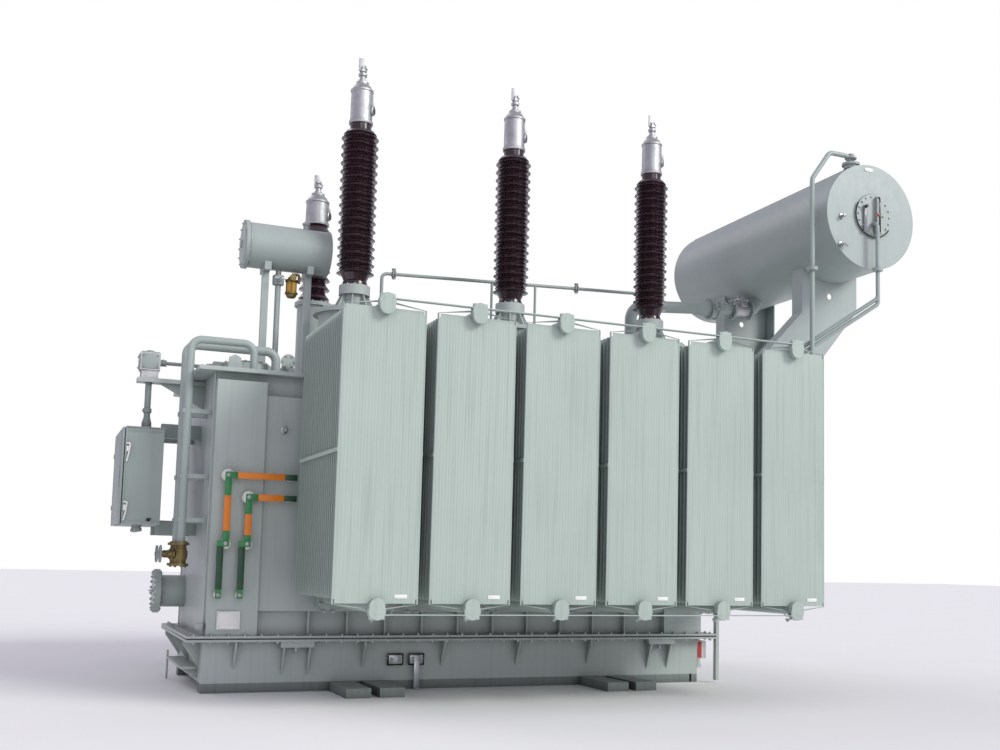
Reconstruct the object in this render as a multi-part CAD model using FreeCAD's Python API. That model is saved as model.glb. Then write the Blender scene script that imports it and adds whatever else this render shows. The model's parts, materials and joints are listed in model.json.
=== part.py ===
import FreeCAD, Part
import math
import os

# Oil-immersed power transformer.  Millimetres, +Z up, ground at z = 0.
# +X runs along the long side towards the main conservator, +Y towards the rear
# radiator row.  The origin lies on the ground under the middle of the tank.

# ---- tank ----
tank_half_length = 1930
tank_half_depth = 700
left_end = -tank_half_length
right_end = tank_half_length
front_wall = -tank_half_depth
belt_half_length = tank_half_length + 118
belt_half_depth = tank_half_depth + 98
belt_top = 388
belt_plate = 20
lip_setback = 8
lip_height = 30
cover_half_length = tank_half_length + 120
cover_half_depth = tank_half_depth + 100
cover_top = 2214
cover_plate = 28
gusset_pitch = 590
gusset_x = (left_end + 204,) + tuple(left_end + 1097 + i * gusset_pitch for i in range(4))
gusset_height = 190
gusset_plate = 12
jack_pad_x = (left_end + 625, right_end - 370)
jack_pad_width = 230
jack_pad_height = 40
earth_pad_x = (-588, -432)
earth_pad_width = 112
earth_pad_height = 78
earth_pad_z = 174
earth_pad_depth = 24

# ---- skids and base rails ----
rail_height = 65
rail_depth = 120
skid_width = 170
skid_gap = 62
skid_gauge = 1939
skid_center_x = 112
skid_half_length = tank_half_depth + 500
sleeper_width = 220

# ---- box stiffeners of the bell ----
corner_box_width = 337
corner_box_depth = 70
corner_box_setback = 8
box_top_gap = 56
middle_panel_gap = 146
middle_panel_depth = 50
middle_panel_bottom = 555
foot_rib_pitch = 275
foot_rib_plate = 12

# ---- radiators ----
bank_count = 6
bank_pitch = 600
bank_left = left_end + 540
bank_front_y = tank_half_depth + 1390
panel_width = 520
panel_plate = 12
panel_pitch = 50
panel_count = 22
header_bottom_z = 647
header_top_z = cover_top + 243
panel_bottom = header_bottom_z + 40
panel_top = header_top_z - 26
roof_rise = 30
roof_half_width = 50
header_radius = 45
header_nose = 55
nose_rim = 3
side_bar_z = 1560
side_bar_height = 25
side_bar_plate = 6
header_tail_y = tank_half_depth + 200
flange_radius = header_radius + 33
flange_plate = 18
bend_radius = 110
riser_y = tank_half_depth + 15
tie_bar_width = 40
tie_bar_plate = 6
tie_bar_overrun = 35

# ---- high-voltage bushings ----
bushing_x = (right_end - 2775, right_end - 1475, right_end - 175)
bushing_y = -145
turret_radius = 270
turret_flange_radius = turret_radius + 40
turret_flange_plate = 30
turret_top = cover_top + 566
neck_radius = 88
neck_rib_plate = 10
neck_rib_count = 8
neck_rib_foot = 90
core_radius = 88
seat_radius = core_radius + 32
seat_plate = 75
seat_top = turret_top + 245
porcelain_top = seat_top + 1237
shed_core_radius = core_radius + 22
shed_radius = core_radius + 57
shed_count = 17
collar_height = 80
shed_tip = 7
cap_neck_radius = core_radius - 8
cap_bottom = porcelain_top + 60
cap_radius = 90
cap_top = cap_bottom + 276
dome_height = 75
terminal_radius = 22
terminal_top = cap_top + 267

# ---- neutral bushing ----
neutral_x = left_end + 908
neutral_y = 500
neutral_turret_radius = 130
neutral_seat_top = cover_top + 781
neutral_seat_radius = 152
neutral_porcelain_top = neutral_seat_top + 655
neutral_core_radius = 78
neutral_shed_radius = 125
neutral_shed_count = 11
neutral_cap_radius = 97
neutral_cap_top = neutral_porcelain_top + 200
neutral_terminal_top = neutral_cap_top + 235

# ---- low-voltage bushings ----
lv_x = (-120, 330, 780)
lv_y = 530
lv_flange_radius = 105
lv_flange_plate = 30
lv_core_radius = 50
lv_shed_radius = 78
lv_shed_count = 5
lv_porcelain_height = 330
lv_stud_radius = 20
lv_stud_height = 130

# ---- main conservator ----
conservator_x = right_end + 1312
conservator_radius = 446
conservator_z = cover_top + 1205 + conservator_radius
conservator_underside = conservator_z - conservator_radius
conservator_half_length = 1255
conservator_wall = 8
end_plate = 14
hatch_x = conservator_x + 22
hatch_z = conservator_z + 13
hatch_radius = 178
hatch_plate = 14
gauge_x = conservator_x + 55
gauge_half_height = 155
gauge_half_width = 24
gauge_depth = 34
bracket_y = tank_half_depth
bracket_depth = 150
bracket_plate = 10
saddle_half_width = 290
bracket_hole_radius = 26
bracket_hole_z = conservator_underside - 119
bracket_toe_z = 1250
bracket_heel_z = cover_top - 158
bracket_knee_z = conservator_underside - 229
bracket_throat_z = conservator_underside - 289

# ---- pipework of the main conservator ----
main_pipe_radius = 53
main_pipe_x = bushing_x[2] + 30
main_pipe_y = bushing_y + neck_radius + 319
main_pipe_z = cover_top + 1031
main_pipe_end_x = conservator_x - 132
main_pipe_end_z = main_pipe_z + 100
main_flange_radius = main_pipe_radius + 39
main_pipe_bend = 140
main_knee_bend = 75
main_valve_x = conservator_x - 622
relay_x = (conservator_x - 382, conservator_x - 212)
relay_radius = main_pipe_radius + 9
relay_head_half_width = 55
relay_head_inset = 35
relay_head_rise = 30
gas_pipe_radius = 14
gas_riser_radius = 11
thin_bend = 45
gas_pipe_left = bushing_x[1] - 975
gas_pipe_z = (cover_top + 1048, cover_top + 1152)
gas_pipe_end_x = main_pipe_x + 115
gas_riser_x = (bushing_x[1] - 10, bushing_x[1] + 392)
breather_pipe_radius = 20
breather_pipe_x = conservator_x - conservator_radius - 71
breather_pipe_y = front_wall - 450
breather_top_x = conservator_x - 122
breather_top_z = conservator_z + conservator_radius + 89
breather_joint_z = conservator_underside - 36
breather_can_top = 1620
breather_can_height = 330
breather_can_radius = 75
breather_bend = 70
breather_shoulder_x = breather_pipe_x + 175
breather_shoulder_z = breather_top_z - 250
breather_joint_radius = breather_pipe_radius + 26
joint_half = 13
stay_foot_x = right_end + 170
stay_z = (1760, 2110)
stay_height = 40
stay_plate = 6
drain_radius = 17
drain_y = -conservator_half_length - 75
drain_x = conservator_x + 8
drain_top_z = conservator_z - 65
drain_knee_z = conservator_underside - 259
drain_drop_x = right_end + 500
drain_drop_y = front_wall - 265
drain_drop_z = 2550
drain_end_z = 1320
drain_spacing = 50
drain_joint_z = conservator_underside - 19
drain_joint_radius = drain_radius + 25
drain_link = 40
saddle_margin = 6

# ---- tap-changer conservator ----
small_tank_x = (left_end + 285, left_end + 930)
small_tank_y = 150
small_tank_z = cover_top + 1116
small_tank_radius = 175
small_flange_radius = small_tank_radius + 13
small_flange_plate = 14
post_x = (small_tank_x[0] + 165, small_tank_x[1] - 151)
post_width = 50
saddle_half_depth = 110
saddle_drop = 25
foot_gusset_height = 130
foot_gusset_plate = 10
foot_width = 110
foot_plate = 14
oil_drop_x = post_x[0] + 100
oil_drop_radius = 22
oil_valve_z = (small_tank_z - 290, small_tank_z - 220)
oil_valve_radius = oil_drop_radius + 22
thin_flange_step = 18
small_can_x = post_x[1] - 124
small_can_radius = 55
small_can_height = 175
small_can_drop = 35
small_can_neck = 16

# ---- tap changer head and its oil pipes ----
head_x = left_end + 290
head_y = -150
head_radius = 180
head_flange_radius = head_radius + 25
head_flange_plate = 30
head_top = cover_top + 121
worm_box_length = 60
worm_box_half_width = 45
worm_box_half_height = 40
side_pipe_x = left_end - 160
side_pipe_y = (-350, -600)
side_pipe_radius = (33, 27)
side_pipe_top = cover_top + 206
side_pipe_end_x = (left_end + 470, left_end + 270)
side_pipe_bottom = 1010
side_pipe_bend = 75
clamp_half_width = 20
clamp_margin = 6
clamp_z = (1150, 1450, 1900)
clamp_height = 30
valve_bottom = 850
valve_flange_step = 28
valve_body_step = 10
bonnet_radius = 26
bonnet_length = 85
valve_stem_radius = 13
wheel_x = side_pipe_x - 125
wheel_z = 930
wheel_radius = 60
wheel_rim = 7
hub_radius = 18
wheel_depth = 14
spoke_radius = 5
spoke_count = 4
stub_x = left_end + 492
stub_y = front_wall + 100
stub_z = cover_top + 86
stub_nose_y = front_wall - 15
stub_radius = 28
stub_flange_radius = 52
stub_flange_plate = 16

# ---- tap-changer drive ----
shaft_x = left_end - 390
shaft_y = -150
shaft_radius = 22
coupling_radius = shaft_radius + 12
coupling_height = 70
cross_shaft_z = cover_top + 86
cross_shaft_radius = 13
cross_coupling_radius = 24
cross_coupling_length = 45
arm_top = cover_top - 34
arm_plate = 30
arm_gusset_reach = 320
arm_gusset_height = 170
arm_gusset_plate = 12
arm_half_width = 62
arm_tip_x = shaft_x - 80
arm_hole_clearance = 9
gear_half = 68
gear_bottom = arm_top + 55
gear_top = cross_shaft_z + 62
cheek_plate = 24
cheek_inset = 10
running_gap = 0.3

# ---- drive cubicle ----
cubicle_back_x = left_end - 277
cubicle_front_x = cubicle_back_x - 258
cubicle_y = (-300, 500)
cubicle_z = (cover_top - 1084, cover_top - 404)
cubicle_wall = 8
door_gap = 5
door_thickness = 20
door_skin = 4
door_rim = 16
hinge_offset = 20
barrel_radius = 8
barrel_height = 34
hinge_leaf = 20
hinge_reach = 45
hinge_z = (cubicle_z[0] + 120, cubicle_z[1] - 170)
boss_radius = 38
boss_height = 22
lug_y = (-60, 320)
lug_width = 60
lug_overhang = 62
lug_grip = 40
gear_case_half_width = 90
gear_case_height = 260
gear_case_reach = 60
motor_radius = 62
motor_height = 210
relay_board_y = (80, 420)
relay_board_plate = 40
relay_board_margin = 112

# ---- manhole on the left end ----
manhole_y = 500
manhole_z = 650
manhole_neck_radius = 120
manhole_flange_radius = 165
manhole_reach = 180
manhole_plate = 20

# ---- core and frame earthing bars ----
bar_y = front_wall - 150
bar_plate = 8
bar_width = 38
bar_right_x = left_end + 560
bar_top_z = (1470, 1325)
bar_drop_x = (left_end + 98, left_end + 240)
bar_knee_z = 1010
bar_shift = -34
bar_bottom_z = 640
standoff_radius = 22
knee_post_drop = 60
tail_post_rise = 25
right_post_inset = 40

# ---- name plate (bare) and cable duct ----
plate_x = (left_end + 75, left_end + 227)
plate_z = (434, 551)
plate_depth = 8
duct_x = cover_half_length + 2
duct_width = 28
duct_y = front_wall - 90
duct_depth = 40
duct_z = (20, 1950)
duct_low_lug_z = (560, 980)
duct_high_lug_z = (1560, 1860)
duct_lug_plate = 8
duct_lug_height = 40
duct_lug_bite = 60

V = FreeCAD.Vector
ALONG_X = V(1, 0, 0)
ALONG_Z = V(0, 0, 1)


# ---------------------------------------------------------------- helpers
def box(x0, x1, y0, y1, z0, z1):
    """Box between two values on each axis, given in either order."""
    size = (abs(x1 - x0), abs(y1 - y0), abs(z1 - z0))
    return Part.makeBox(*size, V(min(x0, x1), min(y0, y1), min(z0, z1)))


def rod(start, end, radius):
    """Round bar from one point to another."""
    axis = end - start
    return Part.makeCylinder(radius, axis.Length, start, axis)


def disc(x, y, z0, z1, radius):
    """Upright round plate or post."""
    return rod(V(x, y, z0), V(x, y, z1), radius)


def fuse(shapes):
    """One solid from touching shapes."""
    body = shapes[0].multiFuse(shapes[1:]).removeSplitter()
    return body.Solids[0] if len(body.Solids) == 1 else body


def prism(points, direction):
    """Plate whose outline is a list of points, extruded along a vector."""
    wire = Part.makePolygon(points + [points[0]])
    return Part.Face(wire).extrude(direction)


def pipe(points, radius, bend):
    """Round bar along straight runs with tangent bends at the inner points."""
    edges = []
    last = points[0]
    for before, corner, after in zip(points, points[1:], points[2:]):
        back = (before - corner).normalize()
        ahead = (after - corner).normalize()
        turn = math.pi - back.getAngle(ahead)
        trim = bend * math.tan(turn / 2)
        enter = corner + back * trim
        leave = corner + ahead * trim
        middle = (back + ahead).normalize()
        reach = bend / math.cos(turn / 2) - bend
        edges.append(Part.LineSegment(last, enter).toShape())
        edges.append(Part.Arc(enter, corner + middle * reach, leave).toShape())
        last = leave
    edges.append(Part.LineSegment(last, points[-1]).toShape())
    section = Part.Wire(Part.makeCircle(radius, points[0], points[1] - points[0]))
    return Part.Wire(edges).makePipeShell([section], True, True)


def turned(outline, x, y):
    """Solid turned about an upright axis from (radius, height) points."""
    points = [V(r, 0, z) for r, z in outline]
    wire = Part.makePolygon(points + [points[0]])
    solid = Part.Face(wire).revolve(V(0, 0, 0), ALONG_Z, 360)
    solid.translate(V(x, y, 0))
    return solid


def save(name, *shapes):
    """Write the solids of one named piece."""
    solids = [solid for shape in shapes for solid in shape.Solids]
    node = solids[0] if len(solids) == 1 else Part.makeCompound(solids)
    node.exportStep("parts/" + name + ".step")


def spread(count, span):
    """Places spaced evenly over a span about zero."""
    return [span * (i / (count - 1) - 0.5) for i in range(count)]


# ---------------------------------------------------------------- base and tank
def skid_bars():
    """Two pairs of flat cross skids that reach out past the tank."""
    bars = []
    for side in (-1, 1):
        middle = skid_center_x + side * skid_gauge / 2
        for half in (-1, 1):
            near = middle + half * skid_gap / 2
            far = near + half * skid_width
            bars.append(box(near, far, -skid_half_length, skid_half_length, 0, rail_height))
    return bars


def base_rails(skids):
    """Long rails under both walls and a sleeper under the middle of the tank."""
    rails = []
    for side in (-1, 1):
        rails.append(box(-tank_half_length, tank_half_length, side * (tank_half_depth - rail_depth),
                         side * tank_half_depth, 0, rail_height))
    rails.append(box(-sleeper_width / 2, sleeper_width / 2, -tank_half_depth, tank_half_depth,
                     0, rail_height))
    return fuse(rails).cut(Part.makeCompound(skids))


def belt_gussets():
    """Tapered plates that carry the lower belt flange."""
    top = belt_top - 2 * belt_plate
    plates = []
    for x in gusset_x:
        for side in (-1, 1):
            wall = side * tank_half_depth
            lip = side * (belt_half_depth - lip_setback)
            outline = [V(x, wall, top), V(x, lip, top), V(x, lip, top - lip_height),
                       V(x, wall, top - gusset_height)]
            plates.append(prism(outline, V(gusset_plate, 0, 0)))
    for y in spread(3, tank_half_depth * 1.6):
        for side in (-1, 1):
            wall = side * tank_half_length
            lip = side * (belt_half_length - lip_setback)
            outline = [V(wall, y, top), V(lip, y, top), V(lip, y, top - lip_height),
                       V(wall, y, top - gusset_height)]
            plates.append(prism(outline, V(0, gusset_plate, 0)))
    return plates


def lower_tank():
    """Shallow tray with the lower belt flange, its gussets, jacking and earthing pads."""
    top = belt_top - 2 * belt_plate
    parts = [box(-tank_half_length, tank_half_length, -tank_half_depth, tank_half_depth,
                 rail_height, top + belt_plate),
             box(-belt_half_length, belt_half_length, -belt_half_depth, belt_half_depth,
                 top, top + belt_plate)]
    parts += belt_gussets()
    for x in jack_pad_x:
        for side in (-1, 1):
            parts.append(box(x - jack_pad_width / 2, x + jack_pad_width / 2, side * tank_half_depth,
                             side * (belt_half_depth - lip_setback), top - jack_pad_height, top))
    for x in earth_pad_x:
        parts.append(box(x - earth_pad_width / 2, x + earth_pad_width / 2, -tank_half_depth,
                         -tank_half_depth - earth_pad_depth, earth_pad_z, earth_pad_z + earth_pad_height))
    return fuse(parts)


def bell_tank():
    """Upper tank: belt flange, walls, corner boxes, middle panel and foot ribs."""
    wall_top = cover_top - cover_plate
    box_top = wall_top - box_top_gap
    middle_top = wall_top - middle_panel_gap
    corner_outer = tank_half_length - corner_box_setback
    corner_inner = corner_outer - corner_box_width
    parts = [box(-belt_half_length, belt_half_length, -belt_half_depth, belt_half_depth,
                 belt_top - belt_plate, belt_top),
             box(-tank_half_length, tank_half_length, -tank_half_depth, tank_half_depth,
                 belt_top, wall_top)]
    rib_count = int(2 * corner_inner / foot_rib_pitch) - 1
    for side in (-1, 1):
        wall = side * tank_half_depth
        face = side * (tank_half_depth + middle_panel_depth)
        for end in (-1, 1):
            parts.append(box(end * corner_inner, end * corner_outer, wall,
                             side * (tank_half_depth + corner_box_depth), belt_top, box_top))
        parts.append(box(-corner_inner, corner_inner, wall, face, middle_panel_bottom, middle_top))
        for x in spread(rib_count, foot_rib_pitch * (rib_count - 1)):
            parts.append(box(x, x + foot_rib_plate, wall, face, belt_top, middle_panel_bottom))
    return fuse(parts)


def tank_cover():
    """Flat cover plate that overhangs the walls."""
    return box(-cover_half_length, cover_half_length, -cover_half_depth, cover_half_depth,
               cover_top - cover_plate, cover_top)


# ---------------------------------------------------------------- radiators
def header_x(bank):
    """Middle of one radiator."""
    return bank_left + bank * bank_pitch + panel_width / 2


def radiator(bank, side):
    """Pressed panels on two headers; side is -1 for the front row, 1 for the rear."""
    middle = header_x(bank)
    half = panel_width / 2
    outline = [(-half, panel_bottom), (-roof_half_width, panel_bottom - roof_rise),
               (roof_half_width, panel_bottom - roof_rise), (half, panel_bottom),
               (half, panel_top), (roof_half_width, panel_top + roof_rise),
               (-roof_half_width, panel_top + roof_rise), (-half, panel_top)]
    first = side * bank_front_y
    parts = []
    for i in range(panel_count):
        y = first - side * i * panel_pitch
        points = [V(middle + x, y, z) for x, z in outline]
        parts.append(prism(points, V(0, -side * panel_plate, 0)))
    nose = side * (bank_front_y + header_nose)
    tail = side * header_tail_y
    for z in (header_top_z, header_bottom_z):
        parts.append(rod(V(middle, nose, z), V(middle, tail, z), header_radius))
        parts.append(rod(V(middle, nose, z), V(middle, nose - side * header_nose / 2, z),
                         header_radius + nose_rim))
        parts.append(rod(V(middle, tail + side * flange_plate, z), V(middle, tail, z), flange_radius))
    last = first - side * ((panel_count - 1) * panel_pitch + panel_plate)
    for edge in (-1, 1):
        parts.append(box(middle + edge * half, middle + edge * (half + side_bar_plate), first, last,
                         side_bar_z, side_bar_z + side_bar_height))
    return fuse(parts)


def header_bends(side):
    """Top bends down to the cover and bottom stubs to the wall of one row."""
    start = side * header_tail_y
    shapes = []
    corner_start = tank_half_length - corner_box_setback - corner_box_width
    for bank in range(bank_count):
        x = header_x(bank)
        path = [V(x, start, header_top_z), V(x, side * riser_y, header_top_z),
                V(x, side * riser_y, cover_top)]
        shapes.append(fuse([pipe(path, header_radius, bend_radius),
                            rod(path[0], path[0] - V(0, side * flange_plate, 0), flange_radius),
                            rod(path[2], path[2] + V(0, 0, flange_plate), flange_radius)]))
        low = V(x, start, header_bottom_z)
        proud = corner_box_depth if x > corner_start else middle_panel_depth
        wall = V(x, side * (tank_half_depth + proud), header_bottom_z)
        shapes.append(fuse([rod(low, wall, header_radius),
                            rod(low, low - V(0, side * flange_plate, 0), flange_radius),
                            rod(wall, wall + V(0, side * flange_plate, 0), flange_radius)]))
    return shapes


def tie_bars():
    """Flat bars that link the header noses of each row, above and below."""
    left = header_x(0) - tie_bar_overrun
    right = header_x(bank_count - 1) + tie_bar_overrun
    rim = header_radius + nose_rim
    bars = []
    for side in (-1, 1):
        outer = side * (bank_front_y + header_nose)
        inner = outer - side * tie_bar_width
        over = header_top_z + rim
        under = header_bottom_z - rim
        bars.append(box(left, right, outer, inner, over, over + tie_bar_plate))
        bars.append(box(left, right, outer, inner, under, under - tie_bar_plate))
    return bars


# ---------------------------------------------------------------- bushings
def hv_turret(x):
    """Current-transformer turret with a ribbed neck and the bushing's seat."""
    seat_bottom = seat_top - seat_plate
    y = bushing_y
    parts = [disc(x, y, cover_top, turret_top, turret_radius),
             disc(x, y, cover_top, cover_top + turret_flange_plate, turret_flange_radius),
             disc(x, y, turret_top, turret_top + turret_flange_plate, turret_flange_radius),
             disc(x, y, turret_top, seat_bottom, neck_radius),
             disc(x, y, seat_bottom, seat_top, seat_radius)]
    low = turret_top + turret_flange_plate
    for i in range(neck_rib_count):
        rib = prism([V(0, 0, low), V(neck_radius + neck_rib_foot, 0, low),
                     V(seat_radius - neck_rib_plate, 0, seat_bottom), V(0, 0, seat_bottom)],
                    V(0, neck_rib_plate, 0))
        rib.rotate(V(0, 0, 0), ALONG_Z, 360 * (i + 0.5) / neck_rib_count)
        rib.translate(V(x, y, 0))
        parts.append(rib)
    return fuse(parts)


def shed_outline(bottom, top, core, radius, count):
    """Half section of a porcelain body with its sheds."""
    pitch = (top - bottom) / count
    outline = [(0, bottom), (core, bottom)]
    for i in range(count):
        base = bottom + i * pitch
        outline += [(core, base + 0.10 * pitch), (radius, base + 0.16 * pitch),
                    (radius, base + 0.16 * pitch + shed_tip), (core, base + 0.52 * pitch)]
    return outline + [(core, top), (0, top)]


def hv_porcelain(x):
    """Glazed body of one high-voltage bushing, plain at both ends."""
    body = turned(shed_outline(seat_top + collar_height, porcelain_top, shed_core_radius, shed_radius,
                               shed_count), x, bushing_y)
    collar = disc(x, bushing_y, seat_top, seat_top + collar_height, core_radius)
    neck = disc(x, bushing_y, porcelain_top, cap_bottom, cap_neck_radius)
    return fuse([body, collar, neck])


def bushing_cap(x, y, bottom, radius, top, tip):
    """Metal oil cap with a domed top and a terminal stud."""
    step = radius * 0.1
    outline = [(0, bottom), (radius, bottom), (radius, top), (radius - step, top + dome_height * 0.45),
               (radius * 0.6, top + dome_height * 0.85), (terminal_radius, top + dome_height),
               (terminal_radius, tip), (0, tip)]
    return turned(outline, x, y)


def neutral_turret():
    """Slender turret of the neutral bushing."""
    x, y = neutral_x, neutral_y
    return fuse([disc(x, y, cover_top, neutral_seat_top, neutral_turret_radius),
                 disc(x, y, cover_top, cover_top + turret_flange_plate, neutral_seat_radius),
                 disc(x, y, neutral_seat_top - turret_flange_plate, neutral_seat_top,
                      neutral_seat_radius)])


def neutral_porcelain():
    """Glazed body of the neutral bushing."""
    return turned(shed_outline(neutral_seat_top, neutral_porcelain_top, neutral_core_radius,
                               neutral_shed_radius, neutral_shed_count), neutral_x, neutral_y)


def lv_porcelain(x):
    """Glazed body of one low-voltage bushing."""
    bottom = cover_top + lv_flange_plate
    return turned(shed_outline(bottom, bottom + lv_porcelain_height, lv_core_radius, lv_shed_radius,
                               lv_shed_count), x, lv_y)


def lv_fittings(x):
    """Mounting flange and terminal stud of one low-voltage bushing."""
    top = cover_top + lv_flange_plate + lv_porcelain_height
    return [disc(x, lv_y, cover_top, cover_top + lv_flange_plate, lv_flange_radius),
            fuse([disc(x, lv_y, top, top + lv_flange_plate, lv_core_radius),
                  disc(x, lv_y, top, top + lv_stud_height, lv_stud_radius)])]


# ---------------------------------------------------------------- main conservator
def lying_cylinder(radius, half_length):
    """Cylinder about the axis of the main conservator."""
    start = V(conservator_x, -half_length, conservator_z)
    return rod(start, start + V(0, 2 * half_length, 0), radius)


def conservator_shell():
    """Rolled shell, open at both ends."""
    half = conservator_half_length - end_plate
    return lying_cylinder(conservator_radius, half).cut(
        lying_cylinder(conservator_radius - conservator_wall, half))


def conservator_end(side):
    """End plate; the front one carries a bolted hatch and an upright level gauge."""
    inner = side * (conservator_half_length - end_plate)
    outer = side * conservator_half_length
    center = V(conservator_x, 0, conservator_z)
    plate = rod(center + V(0, inner, 0), center + V(0, outer, 0), conservator_radius)
    if side > 0:
        return plate
    hatch_front = outer - hatch_plate
    gauge_front = hatch_front - gauge_depth
    return fuse([plate,
                 rod(V(hatch_x, outer, hatch_z), V(hatch_x, hatch_front, hatch_z), hatch_radius),
                 box(gauge_x - gauge_half_width, gauge_x + gauge_half_width, outer, gauge_front,
                     hatch_z - gauge_half_height, hatch_z + gauge_half_height)])


def conservator_bracket(side):
    """Channel-shaped bracket from the right end wall up to the saddle of the shell."""
    wall = tank_half_length
    under_cover = cover_top - cover_plate - lip_setback
    drop = math.sqrt(conservator_radius ** 2 - saddle_half_width ** 2)
    left = conservator_x - saddle_half_width
    right = conservator_x + saddle_half_width
    edge_z = conservator_z - drop
    points = [V(wall, 0, bracket_toe_z), V(right, 0, bracket_knee_z), V(right, 0, edge_z),
              V(left, 0, edge_z), V(left, 0, bracket_throat_z), V(cover_half_length, 0, under_cover),
              V(wall, 0, bracket_heel_z)]
    face = Part.Face(Part.makePolygon(points + [points[0]]))
    block = face.extrude(V(0, bracket_depth, 0))
    pocket = face.makeOffset2D(-bracket_plate).extrude(V(0, bracket_depth - bracket_plate, 0))
    if side < 0:
        pocket.translate(V(0, bracket_plate, 0))
    block = block.cut(pocket)
    block.translate(V(0, -bracket_y if side < 0 else bracket_y - bracket_depth, 0))
    hole = rod(V(conservator_x, -conservator_half_length, bracket_hole_z),
               V(conservator_x, conservator_half_length, bracket_hole_z), bracket_hole_radius)
    return block.cut(lying_cylinder(conservator_radius, conservator_half_length)).cut(hole)


def main_line(x):
    """Point on the rising oil pipe at a given x."""
    share = (x - main_pipe_x) / (main_pipe_end_x - main_pipe_x)
    return V(x, main_pipe_y, main_pipe_z + share * (main_pipe_end_z - main_pipe_z))


def main_oil_pipe():
    """Pipe from the cover to the gas relay and on into the conservator."""
    riser = pipe([V(main_pipe_x, main_pipe_y, cover_top), main_line(main_pipe_x),
                  main_line(relay_x[0])], main_pipe_radius, main_pipe_bend)
    first = fuse([riser,
                  disc(main_pipe_x, main_pipe_y, cover_top, cover_top + flange_plate, main_flange_radius),
                  rod(main_line(main_valve_x), main_line(main_valve_x + 2 * flange_plate),
                      main_flange_radius),
                  rod(main_line(relay_x[0] - flange_plate), main_line(relay_x[0]), main_flange_radius)])
    rise = pipe([main_line(relay_x[1]), main_line(main_pipe_end_x),
                 V(main_pipe_end_x, main_pipe_y, conservator_z)], main_pipe_radius, main_knee_bend)
    rise = rise.cut(lying_cylinder(conservator_radius, conservator_half_length))
    low = min(rise.Solids, key=lambda solid: solid.BoundBox.ZMin)
    second = fuse([low, rod(main_line(relay_x[1]), main_line(relay_x[1] + flange_plate),
                            main_flange_radius)])
    return [first, second]


def gas_relay():
    """Cast relay body with its flat head."""
    start = main_line(relay_x[0])
    end = main_line(relay_x[1])
    head = box(relay_x[0] + relay_head_inset, relay_x[1] - relay_head_inset,
               main_pipe_y - relay_head_half_width, main_pipe_y + relay_head_half_width,
               start.z, start.z + relay_radius + relay_head_rise)
    return fuse([rod(start, end, relay_radius), head])


def gas_collecting_pipe():
    """Thin pipe behind the bushings with its risers, ending on the oil pipe."""
    y = main_pipe_y
    low, high = gas_pipe_z
    path = [V(gas_pipe_left, y, cover_top), V(gas_pipe_left, y, low), V(gas_pipe_end_x, y, high),
            main_line(gas_pipe_end_x)]
    line = pipe(path, gas_pipe_radius, thin_bend)
    parts = [line.cut(rod(main_line(main_pipe_x), main_line(relay_x[0]), main_pipe_radius))]
    for x in gas_riser_x:
        share = (x - gas_pipe_left) / (gas_pipe_end_x - gas_pipe_left)
        parts.append(disc(x, y, cover_top, low + share * (high - low), gas_riser_radius))
    return fuse(parts)


def breather_pipe():
    """Breathing pipe from the top of the shell down to the drying can, with two stays."""
    y = breather_pipe_y
    shell_top = conservator_z + math.sqrt(conservator_radius ** 2
                                          - (conservator_x - breather_top_x) ** 2)
    path = [V(breather_top_x, y, shell_top - 30), V(breather_top_x, y, breather_top_z),
            V(breather_shoulder_x, y, breather_top_z), V(breather_pipe_x, y, breather_shoulder_z),
            V(breather_pipe_x, y, breather_can_top)]
    line = pipe(path, breather_pipe_radius, breather_bend)
    parts = [line.cut(lying_cylinder(conservator_radius, conservator_half_length)),
             disc(breather_pipe_x, y, breather_joint_z - joint_half, breather_joint_z + joint_half,
                  breather_joint_radius),
             disc(breather_pipe_x, y, breather_can_top - breather_can_height, breather_can_top,
                  breather_can_radius)]
    foot = V(stay_foot_x, -bracket_y, 0)
    tip = V(breather_pipe_x, y, 0)
    along = (tip - foot).normalize()
    aside = V(-along.y, along.x, 0) * (stay_plate / 2)
    back = foot - along * 2 * stay_plate
    for z in stay_z:
        low = V(0, 0, z)
        stay = prism([back + aside + low, tip + aside + low, tip - aside + low, back - aside + low],
                     V(0, 0, stay_height))
        parts.append(stay.cut(box(0, conservator_x, -bracket_y, bracket_y, 0, cover_top)))
    return fuse(parts)


def drain_pipes():
    """Two thin pipes from the front end of the conservator down to hand height."""
    knee = V(drain_x, drain_y, drain_knee_z)
    drop = V(drain_drop_x, drain_drop_y, drain_drop_z)
    start = V(drain_x, -conservator_half_length - hatch_plate, drain_top_z)
    first = pipe([start, V(drain_x, drain_y, drain_top_z), knee, drop,
                  V(drop.x, drop.y, drain_end_z)], drain_radius, thin_bend)
    slope = (knee.z - drop.z) / (knee.x - drop.x)
    lower = V(0, 0, -drain_spacing)
    second_drop = drop + V(-drain_spacing, 0, -slope * drain_spacing) + lower
    second = pipe([knee + V(0, 0, drain_link), knee + lower, second_drop,
                   V(second_drop.x, second_drop.y, drain_end_z)], drain_radius, thin_bend)
    joint = disc(drain_x, drain_y, drain_joint_z - joint_half, drain_joint_z + joint_half,
                 drain_joint_radius)
    reach = drain_radius + saddle_margin
    saddle = box(second_drop.x - reach, drop.x + reach, drop.y - saddle_margin,
                 drop.y + saddle_margin, stay_z[0], stay_z[0] + stay_height)
    return fuse([first, second, joint, saddle])


# ---------------------------------------------------------------- tap-changer oil system
def small_tank_cylinder(x0, x1, radius):
    """Cylinder about the axis of the tap-changer conservator."""
    return rod(V(x0, small_tank_y, small_tank_z), V(x1, small_tank_y, small_tank_z), radius)


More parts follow.
